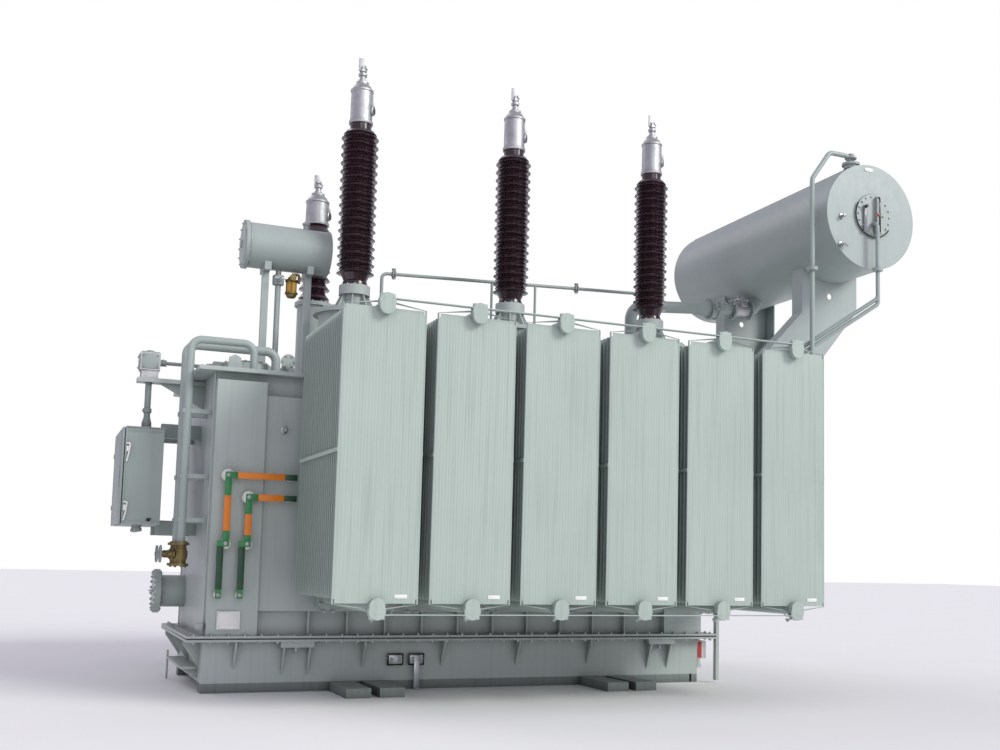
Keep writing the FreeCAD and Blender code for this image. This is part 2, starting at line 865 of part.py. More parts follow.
def small_conservator():
    """Small lying vessel with a bolted end."""
    left, right = small_tank_x
    return fuse([small_tank_cylinder(left, right, small_tank_radius),
                 small_tank_cylinder(left - small_flange_plate, left + small_flange_plate,
                                     small_flange_radius)])


def small_conservator_stand():
    """Two posts on foot plates with gussets."""
    shell = small_tank_cylinder(small_tank_x[0], small_tank_x[1], small_tank_radius)
    posts = []
    for x in post_x:
        half = post_width / 2
        post = box(x - half, x + half, small_tank_y - half, small_tank_y + half, cover_top, small_tank_z)
        saddle = box(x - half, x + half, small_tank_y - saddle_half_depth,
                     small_tank_y + saddle_half_depth,
                     small_tank_z - small_tank_radius - saddle_drop, small_tank_z)
        foot = box(x - foot_width / 2, x + foot_width / 2, small_tank_y - foot_width / 2,
                   small_tank_y + foot_width / 2, cover_top, cover_top + foot_plate)
        side = small_tank_y - foot_gusset_plate / 2
        gusset = prism([V(x - half, side, cover_top + foot_gusset_height),
                        V(x - foot_width / 2, side, cover_top + foot_plate),
                        V(x - half, side, cover_top + foot_plate)], V(0, foot_gusset_plate, 0))
        posts.append(fuse([post, saddle, foot, gusset]).cut(shell))
    return posts


def tap_oil_pipe():
    """Upright pipe from the cover to the small conservator."""
    line = disc(oil_drop_x, small_tank_y, cover_top, small_tank_z, oil_drop_radius)
    valve = disc(oil_drop_x, small_tank_y, oil_valve_z[0], oil_valve_z[1], oil_valve_radius)
    foot = disc(oil_drop_x, small_tank_y, cover_top, cover_top + flange_plate,
                oil_drop_radius + thin_flange_step)
    shell = small_tank_cylinder(small_tank_x[0], small_tank_x[1], small_tank_radius)
    return fuse([line, valve, foot]).cut(shell)


def small_breather():
    """Drying can that hangs under the small conservator."""
    underside = small_tank_z - small_tank_radius
    top = underside - small_can_drop
    can = fuse([disc(small_can_x, small_tank_y, top - small_can_height, top, small_can_radius),
                disc(small_can_x, small_tank_y, top, small_tank_z, small_can_neck)])
    return can.cut(small_tank_cylinder(small_tank_x[0], small_tank_x[1], small_tank_radius))


def tap_changer_head():
    """Round head on the cover with the worm box that takes the cross shaft."""
    left = head_x - head_radius
    return fuse([disc(head_x, head_y, cover_top, cover_top + head_flange_plate, head_flange_radius),
                 disc(head_x, head_y, cover_top, head_top, head_radius),
                 box(left - worm_box_length, head_x, head_y - worm_box_half_width,
                     head_y + worm_box_half_width, cross_shaft_z - worm_box_half_height,
                     cross_shaft_z + worm_box_half_height)])


def side_oil_pipes():
    """Two pipes that climb the left end, turn over the cover and drop onto it."""
    pipes = []
    for y, radius, end_x in zip(side_pipe_y, side_pipe_radius, side_pipe_end_x):
        path = [V(side_pipe_x, y, side_pipe_bottom), V(side_pipe_x, y, side_pipe_top),
                V(end_x, y, side_pipe_top), V(end_x, y, cover_top)]
        parts = [pipe(path, radius, side_pipe_bend),
                 disc(end_x, y, cover_top, cover_top + flange_plate, radius + thin_flange_step)]
        for z in clamp_z:
            parts.append(box(side_pipe_x - radius - clamp_margin, left_end, y - clamp_half_width,
                             y + clamp_half_width, z, z + clamp_height))
        pipes.append(fuse(parts))
    return pipes


def side_valve(y, radius):
    """Gate valve under one side pipe, closed by a blank flange, its stem facing out."""
    return fuse([disc(side_pipe_x, y, side_pipe_bottom - flange_plate, side_pipe_bottom,
                      radius + valve_flange_step),
                 disc(side_pipe_x, y, valve_bottom, side_pipe_bottom, radius + valve_body_step),
                 disc(side_pipe_x, y, valve_bottom, valve_bottom + flange_plate,
                      radius + valve_flange_step),
                 rod(V(side_pipe_x, y, wheel_z), V(side_pipe_x - bonnet_length, y, wheel_z), bonnet_radius),
                 rod(V(side_pipe_x, y, wheel_z), V(wheel_x + running_gap, y, wheel_z),
                     valve_stem_radius)])


def valve_wheel(y):
    """Spoked handwheel on the end of a valve stem."""
    hub = rod(V(wheel_x, y, wheel_z), V(wheel_x - wheel_depth, y, wheel_z), hub_radius)
    rim = Part.makeTorus(wheel_radius - wheel_rim, wheel_rim,
                         V(wheel_x - wheel_depth / 2, y, wheel_z), ALONG_X)
    parts = [hub, rim]
    for i in range(spoke_count):
        spoke = rod(V(wheel_x - wheel_depth / 2, y, wheel_z),
                    V(wheel_x - wheel_depth / 2, y, wheel_z + wheel_radius - wheel_rim), spoke_radius)
        spoke.rotate(V(wheel_x, y, wheel_z), ALONG_X, 360 * (i + 0.5) / spoke_count)
        parts.append(spoke)
    return fuse(parts)


def cover_stub():
    """Short blanked pipe on the cover that faces the front."""
    path = [V(stub_x, stub_y, cover_top), V(stub_x, stub_y, stub_z), V(stub_x, stub_nose_y, stub_z)]
    return fuse([pipe(path, stub_radius, thin_bend),
                 rod(path[2], path[2] + V(0, stub_flange_plate, 0), stub_flange_radius)])


# ---------------------------------------------------------------- tap-changer drive
def drive_bracket():
    """Arm with a gusset that carries the bevel gearbox outside the left end."""
    wall = -tank_half_length
    plate = box(arm_tip_x, wall, shaft_y - arm_half_width, shaft_y + arm_half_width,
                arm_top - arm_plate, arm_top)
    hole = disc(shaft_x, shaft_y, arm_top - arm_plate - 5, arm_top + 5,
                shaft_radius + arm_hole_clearance)
    side = shaft_y - arm_gusset_plate / 2
    under = arm_top - arm_plate
    gusset = prism([V(wall, side, under), V(wall - arm_gusset_reach, side, under),
                    V(wall, side, under - arm_gusset_height)], V(0, arm_gusset_plate, 0))
    return fuse([plate.cut(hole), gusset])


def bevel_gearbox():
    """Cube-shaped gear housing on two cheeks that stand either side of the shaft."""
    x0 = shaft_x - gear_half
    x1 = shaft_x + gear_half
    parts = [box(x0, x1, shaft_y - gear_half, shaft_y + gear_half, gear_bottom, gear_top)]
    for side in (-1, 1):
        outer = shaft_y + side * (gear_half - cheek_inset)
        parts.append(box(x0 + cheek_inset, x1 - cheek_inset, outer, outer - side * cheek_plate,
                         arm_top, gear_bottom))
    return fuse(parts)


def vertical_drive_shaft():
    """Upright tube shaft with a flared coupling at its foot."""
    foot = cubicle_z[1] + boss_height + running_gap
    top = gear_bottom - running_gap
    outline = [(0, foot), (coupling_radius, foot), (coupling_radius, foot + coupling_height * 0.4),
               (shaft_radius, foot + coupling_height), (shaft_radius, top), (0, top)]
    return turned(outline, shaft_x, shaft_y)


def horizontal_drive_shaft():
    """Cross shaft from the gearbox to the tap-changer head, a coupling at each end."""
    start = V(shaft_x + gear_half + running_gap, shaft_y, cross_shaft_z)
    end = V(head_x - head_radius - worm_box_length - running_gap, shaft_y, cross_shaft_z)
    step = V(cross_coupling_length, 0, 0)
    return fuse([rod(start, end, cross_shaft_radius),
                 rod(start, start + step, cross_coupling_radius),
                 rod(end - step, end, cross_coupling_radius)])


# ---------------------------------------------------------------- drive cubicle
def hinge_axis():
    """Plan position of the door's hinge pins."""
    return cubicle_front_x - door_gap - door_thickness / 2, cubicle_y[1] + hinge_offset


def cubicle_body():
    """Open-fronted housing with the shaft boss, fixed hinge halves and wall lugs."""
    near, far = cubicle_y
    low, high = cubicle_z
    outer = box(cubicle_front_x, cubicle_back_x, near, far, low, high)
    inner = box(cubicle_front_x - 1, cubicle_back_x - cubicle_wall, near + cubicle_wall,
                far - cubicle_wall, low + cubicle_wall, high - cubicle_wall)
    parts = [outer.cut(inner),
             disc(shaft_x, shaft_y, high, high + boss_height, boss_radius)]
    pin_x, pin_y = hinge_axis()
    for z in hinge_z:
        parts.append(disc(pin_x, pin_y, z, z + barrel_height, barrel_radius))
        parts.append(box(pin_x, pin_x + hinge_reach, pin_y - barrel_radius, pin_y + barrel_radius,
                         z, z + barrel_height))
        parts.append(box(pin_x + hinge_reach - hinge_leaf, pin_x + hinge_reach, far, pin_y,
                         z, z + barrel_height))
    for y in lug_y:
        parts.append(box(cubicle_back_x, -tank_half_length, y, y + lug_width,
                         high - lug_grip, high + lug_overhang))
        parts.append(box(cubicle_back_x, -tank_half_length, y, y + lug_width,
                         low - lug_overhang, low + lug_grip))
    return fuse(parts)


def cubicle_door():
    """Tray door with its hinge barrels on the rear edge."""
    near, far = cubicle_y
    low, high = cubicle_z
    inner_x = cubicle_front_x - door_gap
    outer_x = inner_x - door_thickness
    panel = box(outer_x, inner_x, near, far, low, high)
    tray = box(outer_x + door_skin, inner_x + 1, near + door_rim, far - door_rim,
               low + door_rim, high - door_rim)
    parts = [panel.cut(tray)]
    pin_x, pin_y = hinge_axis()
    for z in hinge_z:
        start = z + barrel_height + running_gap
        parts.append(disc(pin_x, pin_y, start, start + barrel_height, barrel_radius))
        parts.append(box(pin_x - barrel_radius, pin_x + barrel_radius, far, pin_y,
                         start, start + barrel_height))
    return fuse(parts)


def drive_unit():
    """Gear housing and motor inside the cubicle, under the shaft boss."""
    back = cubicle_back_x - cubicle_wall
    top = cubicle_z[1] - cubicle_wall
    low = top - gear_case_height
    gear = box(back, shaft_x - gear_case_reach, shaft_y - gear_case_half_width,
               shaft_y + gear_case_half_width, low, top)
    motor = disc(shaft_x, shaft_y, low - motor_height, low, motor_radius)
    board = box(back, back - relay_board_plate, relay_board_y[0], relay_board_y[1],
                cubicle_z[0] + cubicle_wall + relay_board_margin, top - relay_board_margin)
    return [fuse([gear, motor]), board]


# ---------------------------------------------------------------- fittings
def manhole_cover():
    """Round bolted cover on a short neck on the left end wall."""
    wall = V(-tank_half_length, manhole_y, manhole_z)
    face = wall - V(manhole_reach, 0, 0)
    outer = face - V(2 * manhole_plate, 0, 0)
    return fuse([rod(wall, outer, manhole_neck_radius), rod(face, outer, manhole_flange_radius)])


def earth_bar(top_z, drop_x):
    """Flat bar: level run, upright run and a cranked tail."""
    front = bar_y - bar_plate
    half = bar_width / 2
    tail_x = drop_x + bar_shift
    return fuse([box(bar_right_x, drop_x - half, front, bar_y, top_z - half, top_z + half),
                 box(drop_x - half, drop_x + half, front, bar_y, bar_knee_z - half, top_z + half),
                 box(tail_x - half, drop_x + half, front, bar_y, bar_knee_z - half, bar_knee_z + half),
                 box(tail_x - half, tail_x + half, front, bar_y, bar_bottom_z, bar_knee_z + half)])


def bar_standoffs(top_z, drop_x):
    """Post insulators between the corner box or middle panel and one bar."""
    corner_face = -(tank_half_depth + corner_box_depth)
    panel_face = -(tank_half_depth + middle_panel_depth)
    places = [(drop_x, top_z, corner_face), (drop_x + bar_shift, bar_knee_z - knee_post_drop, corner_face),
              (drop_x + bar_shift, bar_bottom_z + tail_post_rise, corner_face),
              (bar_right_x - right_post_inset, top_z, panel_face)]
    return [rod(V(x, face, z), V(x, bar_y, z), standoff_radius) for x, z, face in places]


def name_plate():
    """Bare plate on the front corner box."""
    face = -(tank_half_depth + corner_box_depth)
    return box(plate_x[0], plate_x[1], face, face - plate_depth, plate_z[0], plate_z[1])


def cable_duct():
    """Upright duct beside the right end wall, on lugs to the wall and the bracket."""
    parts = [box(duct_x, duct_x + duct_width, duct_y, duct_y + duct_depth, duct_z[0], duct_z[1])]
    back = front_wall + duct_lug_bite
    for z in duct_low_lug_z:
        parts.append(box(duct_x, duct_x + duct_lug_plate, duct_y, back, z, z + duct_lug_height))
        parts.append(box(tank_half_length, duct_x + duct_lug_plate, back - duct_lug_plate, back,
                         z, z + duct_lug_height))
    for z in duct_high_lug_z:
        parts.append(box(duct_x, duct_x + duct_lug_plate, duct_y, -bracket_y,
                         z, z + duct_lug_height))
    return fuse(parts)


def build():
    """Write every piece of the transformer."""
    os.makedirs("parts", exist_ok=True)
    skids = skid_bars()
    save("skids", *skids)
    save("base_rails", base_rails(skids))
    save("lower_tank", lower_tank())
    save("bell_tank", bell_tank())
    save("tank_cover", tank_cover())
    for bank in range(bank_count):
        save("radiator_front_" + str(bank + 1), radiator(bank, -1))
        save("radiator_rear_" + str(bank + 1), radiator(bank, 1))
    save("header_bends_front", *header_bends(-1))
    save("header_bends_rear", *header_bends(1))
    save("radiator_tie_bars", *tie_bars())
    save("bushing_turrets", *[hv_turret(x) for x in bushing_x], neutral_turret())
    for name, x in zip("abc", bushing_x):
        save("hv_porcelain_" + name, hv_porcelain(x))
    caps = [bushing_cap(x, bushing_y, cap_bottom, cap_radius, cap_top, terminal_top) for x in bushing_x]
    caps.append(bushing_cap(neutral_x, neutral_y, neutral_porcelain_top, neutral_cap_radius,
                            neutral_cap_top, neutral_terminal_top))
    save("bushing_caps", *caps)
    save("neutral_porcelain", neutral_porcelain())
    save("lv_porcelain", *[lv_porcelain(x) for x in lv_x])
    save("lv_fittings", *[piece for x in lv_x for piece in lv_fittings(x)])
    save("conservator_shell", conservator_shell())
    save("conservator_end_front", conservator_end(-1))
    save("conservator_end_rear", conservator_end(1))
    save("conservator_bracket_front", conservator_bracket(-1))
    save("conservator_bracket_rear", conservator_bracket(1))
    save("main_oil_pipe", *main_oil_pipe())
    save("gas_relay", gas_relay())
    save("gas_collecting_pipe", gas_collecting_pipe())
    save("breather_pipe", breather_pipe())
    save("drain_pipes", drain_pipes())
    save("small_conservator", small_conservator())
    save("small_conservator_stand", *small_conservator_stand())
    save("tap_oil_pipe", tap_oil_pipe())
    save("small_breather", small_breather())
    save("tap_changer_head", tap_changer_head())
    save("side_oil_pipes", *side_oil_pipes())
    save("side_valves", *[side_valve(y, r) for y, r in zip(side_pipe_y, side_pipe_radius)])
    save("drain_valve_wheel", valve_wheel(side_pipe_y[0]))
    save("filter_valve_wheel", valve_wheel(side_pipe_y[1]))
    save("cover_stub", cover_stub())
    save("drive_bracket", drive_bracket())
    save("bevel_gearbox", bevel_gearbox())
    save("vertical_drive_shaft", vertical_drive_shaft())
    save("horizontal_drive_shaft", horizontal_drive_shaft())
    save("cubicle_body", cubicle_body())
    save("cubicle_door", cubicle_door())
    save("drive_unit", *drive_unit())
    save("manhole_cover", manhole_cover())
    save("earth_bars", *[earth_bar(z, x) for z, x in zip(bar_top_z, bar_drop_x)])
    save("bar_standoffs", *[piece for z, x in zip(bar_top_z, bar_drop_x) for piece in bar_standoffs(z, x)])
    save("name_plate", name_plate())
    save("cable_duct", cable_duct())


build()
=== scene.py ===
# %% [markdown]
# # Oil-filled power transformer
# A power transformer stands in a steel tank full of oil. The tank is bolted together at a belt
# near its foot, pressed radiators cool the oil, porcelain bushings bring the conductors through
# the cover, and a lying vessel above takes up the oil as it warms.
# The CAD frame already holds every piece at its real size. This script gives each piece its
# finish and adds what a shop adds last: bolts, weld beads, glazed sheds, valves and fittings.

import json
import math
import random

import bmesh
import bpy
from mathutils import Matrix, Vector

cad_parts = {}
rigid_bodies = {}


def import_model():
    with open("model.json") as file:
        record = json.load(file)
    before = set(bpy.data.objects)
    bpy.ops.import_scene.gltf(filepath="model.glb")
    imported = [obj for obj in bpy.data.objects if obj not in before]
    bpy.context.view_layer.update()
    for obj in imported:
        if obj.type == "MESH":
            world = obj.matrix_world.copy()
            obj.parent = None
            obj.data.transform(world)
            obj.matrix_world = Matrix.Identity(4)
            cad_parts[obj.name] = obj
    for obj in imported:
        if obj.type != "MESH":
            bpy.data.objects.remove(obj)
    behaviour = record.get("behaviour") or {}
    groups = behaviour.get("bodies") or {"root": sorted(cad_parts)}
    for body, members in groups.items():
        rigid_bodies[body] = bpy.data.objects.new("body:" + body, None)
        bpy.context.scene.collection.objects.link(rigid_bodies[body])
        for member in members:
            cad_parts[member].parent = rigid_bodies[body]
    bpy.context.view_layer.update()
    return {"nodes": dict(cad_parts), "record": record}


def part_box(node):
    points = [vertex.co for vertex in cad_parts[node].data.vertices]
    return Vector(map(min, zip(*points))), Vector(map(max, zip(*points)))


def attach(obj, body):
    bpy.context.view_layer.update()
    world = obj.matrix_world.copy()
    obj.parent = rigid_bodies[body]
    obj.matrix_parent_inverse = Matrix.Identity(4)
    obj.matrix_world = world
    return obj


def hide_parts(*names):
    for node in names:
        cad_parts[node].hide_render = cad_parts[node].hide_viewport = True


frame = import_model()
nodes = frame["nodes"]
random.seed(7)

# %% [markdown]
# ## Places
# Everything below is placed from the boxes of the CAD nodes, so a longer tank or a higher cover
# carries its bolts along. Two short helpers read a node's corners and its middle.

# %% Read places from the frame
def low(node):
    """Lowest corner of a CAD node."""
    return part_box(node)[0]


def high(node):
    """Highest corner of a CAD node."""
    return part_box(node)[1]


def middle(node):
    """Middle of a CAD node's box."""
    return (low(node) + high(node)) / 2


X = Vector((1, 0, 0))
Y = Vector((0, 1, 0))
Z = Vector((0, 0, 1))
cover = high("tank_cover")
wall = Vector((cover.x - 0.120, cover.y - 0.100, cover.z))
print("cover top at", round(cover.z, 3), "m, end wall at", round(wall.x, 3), "m")

# %% [markdown]
# ## Camera
# The view is from the left front corner, close to the ground and looking slightly up, as a
# person would stand to see the whole set. A camera turn is three angles: round, up and a small
# roll. Building the matrix from its three axes keeps each angle readable.

# %% Stand the camera
def stand_camera(place, azimuth, elevation, roll, lens, shift):
    """Camera at a place, turned by angles in degrees."""
    a, e, r = (math.radians(v) for v in (azimuth, elevation, roll))
    forward = Vector((math.sin(a) * math.cos(e), math.cos(a) * math.cos(e), math.sin(e)))
    right = forward.cross(Z).normalized()
    up = right.cross(forward)
    turned_right = right * math.cos(r) + up * math.sin(r)
    turned_up = up * math.cos(r) - right * math.sin(r)
    data = bpy.data.cameras.new("camera")
    data.lens = lens
    data.sensor_width = 36
    data.shift_x, data.shift_y = shift
    eye = bpy.data.objects.new("camera", data)
    axes = Matrix((turned_right, turned_up, -forward)).transposed()
    eye.matrix_world = Matrix.Translation(place) @ axes.to_4x4()
    bpy.context.scene.collection.objects.link(eye)
    bpy.context.scene.camera = eye


stand_camera(Vector((-3.032, -8.952, 0.923)), azimuth=23.856, elevation=5.572, roll=1.242,
             lens=42.19, shift=(-0.0523, 0.0739))
print("camera 9 m from the tank, lens 42 mm")

# %% [markdown]
# ## Floor and light
# A studio for plant this size is a pale floor and broad light. Three far lights with wide,
# soft edges stand in for softboxes: a strong one to the right lights the radiator faces, the
# left end falls into soft shade, and two weak ones fill the rest. The room glows faintly violet
# on the object, and seen directly it is plain white. One function adds every shader node here
# and below: it sets the values and joins the inputs.

# %% Light the room
def shade(code):
    """Linear colour from an sRGB hex value."""
    parts = [int(code[i:i + 2], 16) / 255 for i in (1, 3, 5)]
    return tuple(p / 12.92 if p <= 0.04045 else ((p + 0.055) / 1.055) ** 2.4 for p in parts) + (1.0,)


def add(tree, kind, settings=None, links=None):
    """New node with its settings, and its inputs linked from (node, output)."""
    made = tree.nodes.new("ShaderNode" + kind)
    for name, value in (settings or {}).items():
        if isinstance(name, int) or name in made.inputs:
            made.inputs[name].default_value = value
        else:
            setattr(made, name, value)
    for name, (source, output) in (links or {}).items():
        tree.links.new(source.outputs[output], made.inputs[name])
    return made


def softbox(name, place, spread, power, colour):
    """Far soft light shining from a place towards the middle of the tank."""
    data = bpy.data.lights.new(name, "SUN")
    data.angle = math.radians(spread)
    data.energy = power
    data.color = shade(colour)[:3]
    lit = bpy.data.objects.new(name, data)
    lit.location = place
    lit.rotation_euler = (Vector((0, 0, 1.6)) - Vector(place)).to_track_quat("-Z", "Y").to_euler()
    bpy.context.scene.collection.objects.link(lit)


softbox("key_light", (12.5, -14.5, 13.0), 24, 1.75, "#FDFFF8")
softbox("front_light", (-1.0, -17.0, 6.0), 35, 0.35, "#FFFFFF")
softbox("back_light", (-9.0, 13.0, 15.0), 35, 0.45, "#FFFFFF")
room = bpy.data.worlds.new("room")
bpy.context.scene.world = room
room.use_nodes = True
net = room.node_tree
glow = net.nodes["Background"]
glow.inputs["Color"].default_value = shade("#E2DDEF")
glow.inputs["Strength"].default_value = 0.62
seen = add(net, "Background", {"Color": shade("#FFFFFF"), "Strength": 1.0})
ray = add(net, "LightPath")
both = add(net, "MixShader", links={0: (ray, "Is Camera Ray"), 1: (glow, 0), 2: (seen, 0)})
net.links.new(both.outputs[0], net.nodes["World Output"].inputs["Surface"])
bpy.context.scene.view_settings.view_transform = "Standard"
print("three soft lights and a bright room")

# %% [markdown]
# ## Material steps
# Two steps come back in every finish. One scales the coordinates from millimetres and draws
# noise in patches of that size. The other spreads the middle of that noise over a range.
# All other nodes are added where a finish needs them.

# %% Build the steps that finishes share
RANGE = ("From Min", "From Max", "To Min", "To Max")
MIX = {"data_type": "RGBA"}


def blank(name):
    """Empty material with its tree, shader and object coordinates in metres."""
    finish = bpy.data.materials.new(name)
    finish.use_nodes = True
    tree = finish.node_tree
    tree.nodes.clear()
    shader = add(tree, "BsdfPrincipled")
    add(tree, "OutputMaterial", links={"Surface": (shader, "BSDF")})
    return finish, tree, shader, add(tree, "TexCoord")


def speckle(tree, place, size_mm, stretch=(1, 1, 1), detail=2.0):
    """Noise whose patches measure about size_mm, squeezed along each axis by stretch."""
    scale = 1000 / size_mm
    spread = add(tree, "Mapping", {"Scale": tuple(scale * s for s in stretch)},
                 {"Vector": (place, "Object")})
    return add(tree, "TexNoise", {"Scale": 1.0, "Detail": detail}, {"Vector": (spread, "Vector")})


def patches(tree, place, size_mm, limits, **form):
    """Speckle spread over a range: limits are the noise's start and end, then the two values."""
    spots = speckle(tree, place, size_mm, **form)
    return add(tree, "MapRange", dict(zip(RANGE, limits)), {"Value": (spots, "Fac")})


def join(tree, shader, colour, gloss, bump):
    """Join colour, roughness and bump to the shader."""
    tree.links.new(colour.outputs[2], shader.inputs["Base Color"])
    tree.links.new(gloss.outputs[0], shader.inputs["Roughness"])
    tree.links.new(bump.outputs["Normal"], shader.inputs["Normal"])


print("material steps ready")

# %% [markdown]
# ## Enamel on welded plate
# Tank, radiators, conservator and pipes carry a semi-gloss alkyd enamel over primer, sprayed in
# the shop. It gives a soft, broad highlight. Four things make it real: the plate is slightly
# wavy from welding, the paint has orange peel, rain draws faint upright streaks, and dust
# settles on flat tops. Corners and recesses also get painted shade: the colour darkens there
# by how enclosed they are. Orange peel is about 3 mm from bump to bump.

# %% Mix the enamels
def enamel(name, paint, grime_and_shade, rough=0.42, streak=0.35, wave=0.3, corner=0.55):
    """Sprayed enamel: streaks, dust and painted corner shade in the colour, peel and plate waves in the
    bump.
    """
    finish, tree, shader, place = blank(name)
    darker = tuple(c * 0.88 for c in paint[:3]) + (1.0,)
    tone = patches(tree, place, 700, (0.35, 0.65, 0.0, 0.5), detail=3)
    colour = add(tree, "Mix", MIX | {6: paint, 7: darker}, {0: (tone, 0)})
    rain = patches(tree, place, 24, (0.50, 0.72, 0.0, streak), stretch=(1, 1, 0.03), detail=4)
    colour = add(tree, "Mix", MIX | {7: grime_and_shade}, {0: (rain, 0), 6: (colour, 2)})
    facing = add(tree, "NewGeometry")
    up = add(tree, "SeparateXYZ", links={0: (facing, "Normal")})
    settled = add(tree, "MapRange", dict(zip(RANGE, (0.75, 1.0, 0.0, 0.45))), {"Value": (up, "Z")})
    colour = add(tree, "Mix", MIX | {7: shade("#A9A79E")}, {0: (settled, 0), 6: (colour, 2)})
    # Painted shade, not dust: the mask below darkens corners and recesses towards the grime colour by how
    # enclosed they are; corner sets how far.
    nook = add(tree, "AmbientOcclusion", {"samples": 4, "Distance": 0.09})
    dust = add(tree, "MapRange", dict(zip(RANGE, (0.30, 0.92, corner, 0.0))), {"Value": (nook, "AO")})
    colour = add(tree, "Mix", MIX | {7: grime_and_shade}, {0: (dust, 0), 6: (colour, 2)})
    gloss = patches(tree, place, 60, (0.3, 0.7, rough - 0.06, rough + 0.10), detail=3)
    peel = add(tree, "Bump", {"Strength": 0.10, "Distance": 0.0004},
               {"Height": (speckle(tree, place, 3), "Fac")})
    plate = add(tree, "Bump", {"Strength": wave, "Distance": 0.006},
                {"Height": (speckle(tree, place, 450, detail=1), "Fac"), "Normal": (peel, "Normal")})
    join(tree, shader, colour, gloss, plate)
    shader.inputs["IOR"].default_value = 1.5
    return finish


grime_and_shade = shade("#4A4A48")
# Tank plate: even semi-gloss over large, slightly wavy sheets.
tank_enamel = enamel("enamel_on_tank_plate", shade("#B6C0BC"), grime_and_shade, 0.40, 0.08, corner=0.4)
# Pressed panels: paler and duller, with the streaks that rain leaves along the flutes, and strong painted
# shade between the panels.
radiator_enamel = enamel("enamel_on_pressed_panels", shade("#B0BEB6"), shade("#86968E"),
                         0.45, 0.30, wave=0.05, corner=0.75)
# Rolled plate, pipe and folded sheet: smoother, so the highlight is tighter.
conservator_enamel = enamel("enamel_on_rolled_plate", shade("#ADB8B5"), grime_and_shade, 0.36, 0.05, corner=0.35)
pipe_enamel = enamel("enamel_on_pipe", shade("#A9B5B1"), grime_and_shade, 0.38, 0.05, wave=0.0, corner=0.4)
cubicle_enamel = enamel("enamel_on_sheet_steel", shade("#9EAAA6"), grime_and_shade, 0.36, 0.06, wave=0.1,
                        corner=0.35)
# Primer on the skids: dark, matt and dusty, with heavy painted shade in its corners.
base_primer = enamel("dark_primer_on_base", shade("#87908D"), shade("#2E2C2A"), 0.6, 0.2, wave=0.1,
                     corner=0.8)
# Thin paint on turned and cast parts shows no plate waves.
shaft_paint = enamel("paint_on_shaft_tube", shade("#8E9896"), grime_and_shade, 0.42, 0.1, wave=0.0)
wheel_paint = enamel("paint_on_cast_wheel", shade("#9A9FA0"), grime_and_shade, 0.5, 0.0, wave=0.0)
print("eight enamels")

# %% [markdown]
# ## Glazed porcelain
# The bushings are turned porcelain with a maroon-brown glaze. Glaze is glass: smooth, with a
# sharp highlight on every shed, and the colour pools a little darker where it ran. A clear coat
# over a dark base gives exactly that.

# %% Glaze the porcelain
def glaze(name, colour, pool, rough):
    """Fired glaze with slight pooling and dust on the upper faces."""
    finish, tree, shader, place = blank(name)
    runs = patches(tree, place, 35, (0.35, 0.7, 0.0, 1.0), stretch=(1, 1, 0.4), detail=3)
    glazed = add(tree, "Mix", MIX | {6: colour, 7: pool}, {0: (runs, 0)})
    facing = add(tree, "NewGeometry")
    up = add(tree, "SeparateXYZ", links={0: (facing, "Normal")})
    dust = add(tree, "MapRange", dict(zip(RANGE, (0.5, 1.0, 0.0, 0.16))), {"Value": (up, "Z")})
    dusty = add(tree, "Mix", MIX | {7: shade("#9A8F88")}, {0: (dust, 0), 6: (glazed, 2)})
    haze = patches(tree, place, 18, (0.3, 0.7, rough, rough + 0.12))
    ripple = add(tree, "Bump", {"Strength": 0.15, "Distance": 0.0008},
                 {"Height": (speckle(tree, place, 14), "Fac")})
    join(tree, shader, dusty, haze, ripple)
    shader.inputs["IOR"].default_value = 1.55
    shader.inputs["Coat Weight"].default_value = 0.45
    shader.inputs["Coat Roughness"].default_value = 0.12
    return finish


# Maroon: nearly black in the hollows, wine red on the rims that face the light.
maroon_glaze = glaze("maroon_glazed_porcelain", shade("#351824"), shade("#1F0C14"), 0.18)
# Cream: bright rings behind the earthing bars.
cream_glaze = glaze("cream_glazed_porcelain", shade("#E9E8E2"), shade("#CFCDC4"), 0.2)
print("two glazes")

# %% [markdown]
# ## Bare metals
# Cast aluminium caps are matt with a sand-cast grain near 2 mm. Brass valves have gone dull in
# the hollows. Zinc-plated bolts are grey with a soft sheen. Metals keep their own reflectance,
# so only colour, roughness and grain change. Plating and brushing are finer than 1 mm on the
# real parts; here they are drawn at 2 to 3 mm, as fine as still shows.

# %% Cast and plated metals
def bare_metal(name, colour, stain, rough, grain_mm, strength):
    """Metal with a grain in its bump and a stain in its hollows."""
    finish, tree, shader, place = blank(name)
    worn = patches(tree, place, 80, (0.4, 0.7, 0.0, 0.35), detail=3)
    mixed = add(tree, "Mix", MIX | {6: colour, 7: stain}, {0: (worn, 0)})
    nook = add(tree, "AmbientOcclusion", {"samples": 4, "Distance": 0.03})
    hollow = add(tree, "MapRange", dict(zip(RANGE, (0.2, 0.9, 0.7, 0.0))), {"Value": (nook, "AO")})
    mixed = add(tree, "Mix", MIX | {7: stain}, {0: (hollow, 0), 6: (mixed, 2)})
    rubbed = patches(tree, place, 25, (0.3, 0.7, rough - 0.08, rough + 0.10), detail=3)
    sand = add(tree, "Bump", {"Strength": strength, "Distance": 0.0006},
               {"Height": (speckle(tree, place, grain_mm), "Fac")})
    join(tree, shader, mixed, rubbed, sand)
    shader.inputs["Metallic"].default_value = 1.0
    return finish


cast_aluminium = bare_metal("sand_cast_aluminium", shade("#C6C7C9"), shade("#85878A"), 0.5, 2, 0.3)
yellow_brass = bare_metal("yellow_brass", shade("#8E8058"), shade("#4A3F28"), 0.48, 4, 0.15)
zinc_plate = bare_metal("zinc_plated_steel", shade("#B9BDC0"), shade("#6E7072"), 0.36, 3, 0.1)
brushed_plate = bare_metal("brushed_steel_plate", shade("#D2D3D3"), shade("#9A9B9B"), 0.35, 2, 0.2)
print("four bare metals")

# %% [markdown]
# ## Sleeves, glass and marks
# The earthing bars wear shrink sleeves, orange and green. Gauges have black slots behind glass,
# with a red float and a green mark. All are moulded plastic or lacquer: even colour, a small
# waviness, and a little dust.

